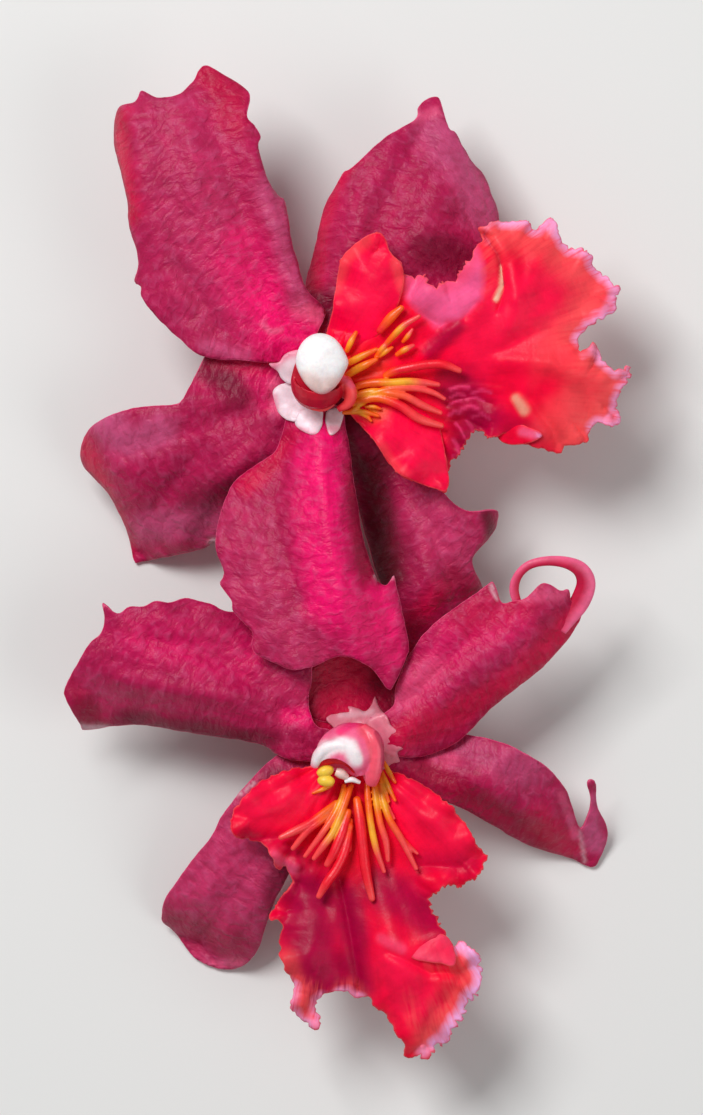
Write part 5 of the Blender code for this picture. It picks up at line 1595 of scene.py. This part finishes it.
def tissue(sort):
    """Petal tissue: painted tint with veins, painted highlights on raised puckers and painted shade in
    their hollows, a pale thin margin and a puckered skin.
    """
    if sort in MADE:
        return MADE[sort]
    skin = SKINS[sort]
    pucker_shading = skin["pucker_shading"]
    width = skin["margin_width"]
    nodes = Nodes(sort + "_tissue")
    place = nodes.place()
    tint = nodes.attribute("tint", "Color")
    veins, streaks, ring, margin = veined(nodes)
    blotch = nodes.ramp(nodes.noise(place, *NOISES["blotch"]), *RAMPS["blotch"])
    tone = nodes.mix(1.0, tint, nodes.grey(blotch), "MULTIPLY")
    pucker = nodes.noise(ring, skin["puckers"], *PUCKER_NOISE)
    # Painted highlights on raised puckers and painted shade in their hollows show only where the tint
    # is deep, and hardly on scarlet
    _, green, blue = nodes.split("ShaderNodeSeparateColor", tint)[:3]
    strong = nodes.ramp(green, *RAMPS["deep_green"])
    deep = nodes.times(strong, nodes.ramp(blue, *RAMPS["deep_blue"]))
    light = nodes.times(nodes.ramp(pucker, *PUCKER_HIGHLIGHT_RANGE, 0.0, pucker_shading), deep)
    dark = nodes.times(nodes.ramp(pucker, *PUCKER_SHADE_RANGE, 0.0, pucker_shading * PUCKER_SHADE_SHARE), deep)
    # Painted highlight on the raised puckers, then painted shade in their hollows
    tone = nodes.mix(light, tone, rgba(skin["pucker_highlight_colour"]))
    tone = nodes.mix(dark, tone, rgba("crimson"))
    tone = nodes.mix(nodes.ramp(veins, *VEIN_RANGE, 0.0, skin["veins"]), tone, rgba("maroon"))
    if sort == "lip":
        tone = frilled(nodes, tone, margin, streaks)
    edge = nodes.calc("ADD", margin, nodes.times(nodes.noise(place, *NOISES["margin"]), width))
    pale = nodes.ramp(edge, *(width * share for share in MARGIN_RANGE), MARGIN_STRENGTH, 0.0)
    nodes.shade(Base_Color=nodes.mix(pale, tone, rgba(skin["margin_colour"])))
    grain = nodes.noise(place, *NOISES["grain"])
    height = nodes.calc("ADD", pucker, nodes.times(grain, GRAIN_BUMP))
    height = nodes.calc("ADD", height, nodes.times(veins, VEIN_BUMP))
    nodes.skin(grain, skin["roughness"], height, TISSUE_BUMP, skin["pucker_height"])
    nodes.shade(
        Subsurface_Weight=skin["subsurface"], Subsurface_Radius=TISSUE_GLOW,
        Subsurface_Scale=TISSUE_GLOW_SCALE * MM, Specular_IOR_Level=skin["gloss"],
    )
    MADE[sort] = nodes.made
    return nodes.made


def flesh(name):
    """Waxy flesh: painted tint with faint blotches and a fine skin."""
    if name in MADE:
        return MADE[name]
    roughness, grain_height, subsurface = FLESH[name]
    nodes = Nodes(name)
    place = nodes.place()
    blotch = nodes.ramp(nodes.noise(place, *NOISES["flesh_blotch"]), *RAMPS["flesh_blotch"])
    tint = nodes.attribute("tint", "Color")
    nodes.shade(Base_Color=nodes.mix(1.0, tint, nodes.grey(blotch), "MULTIPLY"))
    grain = nodes.noise(place, *NOISES["flesh_grain"])
    nodes.skin(grain, roughness, grain, FLESH_BUMP, grain_height)
    nodes.shade(
        Subsurface_Weight=subsurface, Subsurface_Radius=FLESH_GLOW,
        Subsurface_Scale=FLESH_GLOW_SCALE * MM,
    )
    MADE[name] = nodes.made
    return nodes.made


def baked_mesh(piece):
    """New mesh of an object as its curve or modifiers make it."""
    return bpy.data.meshes.new_from_object(piece.evaluated_get(bpy.context.evaluated_depsgraph_get()))


def tube_mesh(name, points, radii, sides, step=TUBE_STEP):
    """Closed mesh of a smooth tube through points, with a radius at each."""
    path = smooth_path(np.c_[np.array(points, float), np.array(radii, float)], step, False)
    curve = bpy.data.curves.new(name, "CURVE")
    curve.dimensions = "3D"
    curve.bevel_depth = MM
    curve.bevel_resolution = sides // 2 - 2
    curve.use_fill_caps = True
    line = curve.splines.new("POLY")
    line.points.add(len(path) - 1)
    for point, (x, y, z, radius) in zip(line.points, path):
        point.co = (x * MM, y * MM, z * MM, 1)
        point.radius = radius
    holder = add_object(name + "_path", curve)
    mesh = baked_mesh(holder)
    bpy.data.objects.remove(holder)
    return mesh


def ball_mesh(name, centre, size, turn=0.0, rings=24):
    """Egg shape of a given centre and half sizes, turned about the vertical."""
    build = bmesh.new()
    bmesh.ops.create_uvsphere(build, u_segments=2 * rings, v_segments=rings, radius=1)
    for vertex in build.verts:
        x, y, z = (vertex.co[k] * size[k] for k in range(3))
        vertex.co = (
            (centre[0] + x * math.cos(turn) - y * math.sin(turn)) * MM,
            (centre[1] + x * math.sin(turn) + y * math.cos(turn)) * MM,
            (centre[2] + z) * MM,
        )
    mesh = bpy.data.meshes.new(name)
    build.to_mesh(mesh)
    build.free()
    return mesh


def grow_together(name, meshes, voxel, smoothing):
    """One soft skin over several closed meshes."""
    joined = bmesh.new()
    for mesh in meshes:
        joined.from_mesh(mesh)
    mesh = bpy.data.meshes.new(name)
    joined.to_mesh(mesh)
    joined.free()
    piece = add_object(name, mesh)
    remesh = piece.modifiers.new("skin", "REMESH")
    remesh.mode = "VOXEL"
    remesh.voxel_size = voxel * MM
    smooth = piece.modifiers.new("soften", "SMOOTH")
    smooth.iterations = smoothing
    smooth.factor = 0.5
    fine = baked_mesh(piece)
    piece.modifiers.clear()
    piece.data = fine
    return piece


def vertices_of(mesh):
    """Vertex places in millimetres."""
    flat = np.empty(len(mesh.vertices) * 3)
    mesh.vertices.foreach_get("co", flat)
    return flat.reshape(-1, 3) / MM


def moved(points, centre):
    """Points moved from a bloom's centre to the part's."""
    return np.array(points, float) + np.array([centre[0], centre[1], 0.0])


def finger_colour(share, tone):
    """Colour along one finger of the callus, from root to tip."""
    stops = TONES[tone]
    for (a, first), (b, second) in zip(stops[:-1], stops[1:]):
        if share <= b:
            mix = (share - a) / (b - a)
            return colour(first) * (1 - mix) + colour(second) * mix
    return colour(stops[-1][1])


def add_callus(name, lip):
    """Crest of slender fingers on a lip, each along its own path."""
    centre = centre_of(name)
    meshes = []
    samples = []
    for path, rise, radius, tone in FINGERS[name]:
        plan = from_photo(path, centre)
        share = np.linspace(0, 1, len(plan))
        line = np.c_[plan, blade_height(lip, plan) + (FINGER_LIFT + radius)]
        line[:, 2] += rise * np.interp(share, *FINGER_ARCH)
        line = moved(line, centre)
        radii = radius * np.interp(share, *FINGER_TAPER)
        meshes.append(tube_mesh("finger", line, radii, FINGER_SIDES))
        for end in (0, -1):
            meshes.append(ball_mesh("end", line[end], [radii[end]] * 3, rings=FINGER_END_RINGS))
        fine = smooth_path(line, TUBE_STEP, False)
        samples += [(point, k / (len(fine) - 1), tone) for k, point in enumerate(fine)]
    piece = grow_together(name + "_fine", meshes, FINGER_VOXEL, 1)
    tree = kdtree.KDTree(len(samples))
    for k, (point, _, _) in enumerate(samples):
        tree.insert(point, k)
    tree.balance()
    tint = []
    for place in vertices_of(piece.data):
        near = [(samples[k], 1 / (away + TONE_BLEND)) for _, k, away in tree.find_n(place, 3)]
        shades = [finger_colour(share, tone) * weight for (_, share, tone), weight in near]
        tint.append(sum(shades) / sum(weight for _, weight in near))
    paint(piece.data, np.array(tint))
    coat(piece.data, flesh("callus_flesh"))
    register(piece, "callus", name)


def paint_by_marks(mesh, base, marks=()):
    """Tint a fleshy mesh by marks in photo pixels over a base colour."""
    pixels = to_photo(vertices_of(mesh)[:, :2])
    tint = np.tile(colour(base), (len(pixels), 1))
    for path, radius, shade, strength in marks:
        tint = covered_by(tint, shade, strength * np.exp(-(path_distance(pixels, path) / radius) ** 4))
    paint(mesh, tint)


def ribbon_mesh(name, line, widths, heights, sides=20):
    """Closed ribbon of oval section along a line that runs level or gently uphill."""
    stations = smooth_path(np.c_[line, widths, heights], TUBE_STEP, False)
    run = np.gradient(stations[:, :2], axis=0)
    run /= np.linalg.norm(run, axis=1)[:, None]
    turns = np.arange(sides) * 2 * math.pi / sides
    vertices = []
    for (x, y, z, wide, high), (sx, sy) in zip(stations, np.c_[run[:, 1], -run[:, 0]]):
        for turn in turns:
            across = wide * math.cos(turn)
            vertices.append((x + sx * across, y + sy * across, z + high * math.sin(turn)))
    faces = []
    for j in range(len(stations) - 1):
        for i in range(sides):
            k = (i + 1) % sides
            faces.append((j * sides + i, j * sides + k, (j + 1) * sides + k, (j + 1) * sides + i))
    faces.append(tuple(range(sides))[::-1])
    last = (len(stations) - 1) * sides
    faces.append(tuple(range(last, last + sides)))
    mesh = bpy.data.meshes.new(name)
    mesh.from_pydata([tuple(c * MM for c in v) for v in vertices], [], faces)
    build = bmesh.new()
    build.from_mesh(mesh)
    bmesh.ops.recalc_face_normals(build, faces=build.faces)
    build.to_mesh(mesh)
    build.free()
    return mesh


def add_petal_loop():
    """The right petal's tip: a ribbon of margin that curls round and joins it again."""
    line = moved(LOOP_PATH, LOWER_CENTRE)
    mesh = ribbon_mesh("lower_bloom_petal_right_loop", line, LOOP_WIDTHS, LOOP_HEIGHTS)
    places = vertices_of(mesh)
    middle = line[:, :2].mean(axis=0)
    fine = smooth_path(line, TUBE_STEP, False)
    nearest = ((places[:, None] - fine[None]) ** 2).sum(-1).argmin(axis=1)
    outward = np.linalg.norm(places[:, :2] - middle, axis=1)
    own = np.linalg.norm(fine[nearest][:, :2] - middle, axis=1)
    outer = np.clip(LOOP_PALE + (outward - own) / LOOP_BLEND, 0, 1)[:, None]
    paint(mesh, colour("deep") * (1 - outer) + colour("pink") * outer)
    coat(mesh, flesh("loop_skin"))
    piece = add_object("lower_bloom_petal_right_loop", mesh)
    register(piece, "tepals", "lower_bloom_petal_right")


def on_column(points, name):
    """Part's places of points given from a column's centre and foot."""
    return np.array(points, float) + (*centre_of(name), foot_of(name))


def column_tube(part, name):
    """Tube of COLUMN_TUBES on a bloom's column."""
    pixels, heights, radii, sides, step = COLUMN_TUBES[part]
    line = on_column(np.c_[from_photo(pixels, centre_of(name)), heights], name)
    return tube_mesh(part, line, radii, sides, step)


def column_ball(part, name, rings=24):
    """Egg shape of COLUMN_BALLS on a bloom's column."""
    centre, size, turn = COLUMN_BALLS[part]
    return ball_mesh(part, on_column([centre], name)[0], size, turn, rings)


def column_body(name):
    """Trunk of a column."""
    line, radii = COLUMN_BODIES[name]
    return tube_mesh("column", on_column(line, name), radii, *TRUNK_MESH)


def add_column_tube(part, name, shade):
    """Tube of one colour that lies on a column as a piece of its own."""
    mesh = column_tube(part, name)
    piece = add_object(name + "_" + part, mesh)
    paint_by_marks(mesh, shade)
    coat(mesh, flesh("column_flesh"))
    register(piece, "columns", name)


def add_upper_column():
    """Stout column of the upper bloom: a red cup with a pale rim under the white anther cap."""
    name = "upper_bloom_column"
    meshes = [column_body(name), column_ball("upper_wing", name), column_tube("fold", name)]
    column = grow_together(name + "_fine", meshes, COLUMN_VOXEL, 3)
    paint_by_marks(column.data, "finger_red", COLUMN_MARKS[name])
    coat(column.data, flesh("column_flesh"))
    register(column, "columns", name)
    add_column_tube("rim", name, "finger_tip")


def add_anther_cap():
    """White cap on the upper column: an egg, narrower in front, with a bulge and a dimple."""
    name = "upper_bloom_anther_cap"
    centre = Vector(on_column([COLUMN_BALLS["cap"][0]], name)[0])
    seat = CAP_SEAT + foot_of(name) + GAP - centre.z
    half_width, half_length, _ = COLUMN_BALLS["cap"][1]
    swell, place, size = CAP_BULGE
    depth, across, along = CAP_DIMPLE
    mesh = column_ball("cap", name, 40)
    for vertex in mesh.vertices:
        x, y, z = vertex.co / MM - centre
        down = min(max(-y / half_length, 0), 1)
        bulge = swell * math.exp(-((y - place) / size) ** 2) * max(x, 0) / half_width
        x = x * (1 - CAP_TAPER * down) + bulge
        dent = math.exp(-((x - across[0]) / across[1]) ** 2 - ((y - along[0]) / along[1]) ** 2)
        dimple = depth * dent if z > 0 else 0.0
        vertex.co = (centre + Vector((x, y, max(z - dimple, seat)))) * MM
    cap = add_object(name + "_fine", mesh)
    paint_by_marks(mesh, "wax_white", COLUMN_MARKS[name])
    coat(mesh, flesh("cap_wax"))
    register(cap, "anther_cap", name)


def add_lower_column():
    """Column of the lower bloom: a hood round the open hollow, with what lies in it."""
    name = "lower_bloom_column"
    meshes = [column_body(name), column_ball("hood", name), column_ball("lower_wing", name)]
    meshes += [column_tube("band", name), column_tube("brow", name)]
    column = grow_together(name + "_fine", meshes, COLUMN_VOXEL, 2)
    hollow = add_object("hollow", column_ball("hollow", name))
    cut = column.modifiers.new("hollow", "BOOLEAN")
    cut.operation = "DIFFERENCE"
    cut.object = hollow
    bpy.context.view_layer.update()
    mesh = baked_mesh(column)
    column.modifiers.clear()
    column.data = mesh
    bpy.data.objects.remove(hollow)
    paint_by_marks(mesh, "pink", COLUMN_MARKS[name])
    coat(mesh, flesh("column_flesh"))
    register(column, "columns", name)
    # The arch is red as painted shade at the inside top of the hollow
    for part, shade in (("arch", "finger_red"), ("stigma", "wax_cream"), ("shelf", "wax_white")):
        add_column_tube(part, name, shade)


def add_pollinia():
    """Two yellow pollen masses in the hollow of the lower column."""
    name = "lower_bloom_pollinia"
    masses = [column_ball(part, name) for part in ("mass_high", "mass_low")]
    pollen = grow_together(name + "_fine", masses, POLLEN_VOXEL, 1)
    paint_by_marks(pollen.data, "pollen")
    coat(pollen.data, flesh("pollen_wax"))
    register(pollen, "pollinia", name)


def add_stem(name, mesh):
    """Green stem piece flushed purple in soft patches."""
    piece = add_object(name + "_fine", mesh)
    mean, strength, size, seed = FLUSH
    flush = np.clip(mean + strength * smooth_noise(vertices_of(mesh), size, seed), 0, 1)[:, None]
    paint(mesh, colour("stem_green") * (1 - flush) + colour("stem_purple") * flush)
    coat(mesh, flesh("stem_skin"))
    register(piece, "stems", name)


def add_stems():
    """Stalk, pedicels with their ovaries, and the skin of the scale leaves."""
    line = [(x, y, STALK_HEIGHT) for x, y in STALK_PATH]
    radii = [STALK_TIP] + [STALK_RADIUS] * (len(line) - 1)
    mesh = tube_mesh("rachis_fine", line, radii, *STALK_MESH)
    for vertex in mesh.vertices:
        vertex.co.z = max(vertex.co.z, 0)
    add_stem("rachis", mesh)
    start = STALK_HEIGHT + STALK_RADIUS + GAP
    for name, (x, y), top in OVARIES:
        line = [(x * share, y * share, start + up) for share, up, _ in PEDICEL]
        line += [(x * share, y * share, top - down) for share, down, _ in OVARY]
        radii = [radius for _, _, radius in PEDICEL + OVARY]
        add_stem(name, tube_mesh(name + "_fine", moved(line, centre_of(name)), radii, *OVARY_MESH))
    for name in ("upper_bract", "lower_bract"):
        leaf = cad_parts[name].data
        paint(leaf, np.tile(colour("bract"), (len(leaf.vertices), 1)))
        coat(leaf, flesh("stem_skin"))


def add_camera():
    """Camera straight above, with the photo's frame."""
    data = bpy.data.cameras.new("camera")
    data.sensor_width = SENSOR
    data.sensor_fit = "AUTO"
    data.lens = SENSOR * (CAMERA_HEIGHT - BLADE_PLANE) / (PHOTO_SIZE[1] / PX_PER_MM * MM)
    camera = add_object("camera", data)
    x = (PHOTO_SIZE[0] / 2 - PHOTO_ORIGIN[0]) / PX_PER_MM * MM
    y = (PHOTO_ORIGIN[1] - PHOTO_SIZE[1] / 2) / PX_PER_MM * MM
    camera.location = (x, y, CAMERA_HEIGHT)
    bpy.context.scene.camera = camera


def add_lamp(name, place, side, power):
    """Soft square lamp aimed at the flowers."""
    data = bpy.data.lights.new(name, "AREA")
    data.size = side
    data.energy = power
    lamp = add_object(name, data)
    lamp.location = place
    lamp.rotation_euler = (-Vector(place)).to_track_quat("-Z", "Y").to_euler()


def add_studio():
    """Plain pale floor, a large key lamp at the upper left, a fill and a soft sky."""
    mesh = bpy.data.meshes.new("floor")
    build = bmesh.new()
    bmesh.ops.create_grid(build, x_segments=1, y_segments=1, size=FLOOR_SIDE / 2)
    build.to_mesh(mesh)
    build.free()
    floor = add_object("floor", mesh)
    floor.location = (0, 0, -FLOOR_DROP)
    nodes = Nodes("floor_paper")
    nodes.shade(Base_Color=FLOOR_COLOUR, Roughness=FLOOR_ROUGHNESS)
    coat(mesh, nodes.made)
    add_lamp("key", KEY_PLACE, KEY_SIDE, KEY_POWER)
    add_lamp("fill", FILL_PLACE, FILL_SIDE, FILL_POWER)
    world = bpy.data.worlds.new("sky")
    world.use_nodes = True
    background = world.node_tree.nodes["Background"]
    background.inputs["Color"].default_value = SKY_COLOUR
    background.inputs["Strength"].default_value = SKY_STRENGTH
    bpy.context.scene.world = world
    # The default transform washes out the saturated reds
    bpy.context.scene.view_settings.view_transform = "Standard"


add_camera()
add_studio()
for blade in OUTLINES:
    add_blade(blade)
for lobe in OVERLAYS:
    add_overlay(lobe)
add_petal_loop()
add_upper_column()
add_anther_cap()
add_lower_column()
add_pollinia()
add_callus("upper_bloom_callus", "upper_bloom_lip")
add_callus("lower_bloom_callus", "lower_bloom_lip")
add_stems()
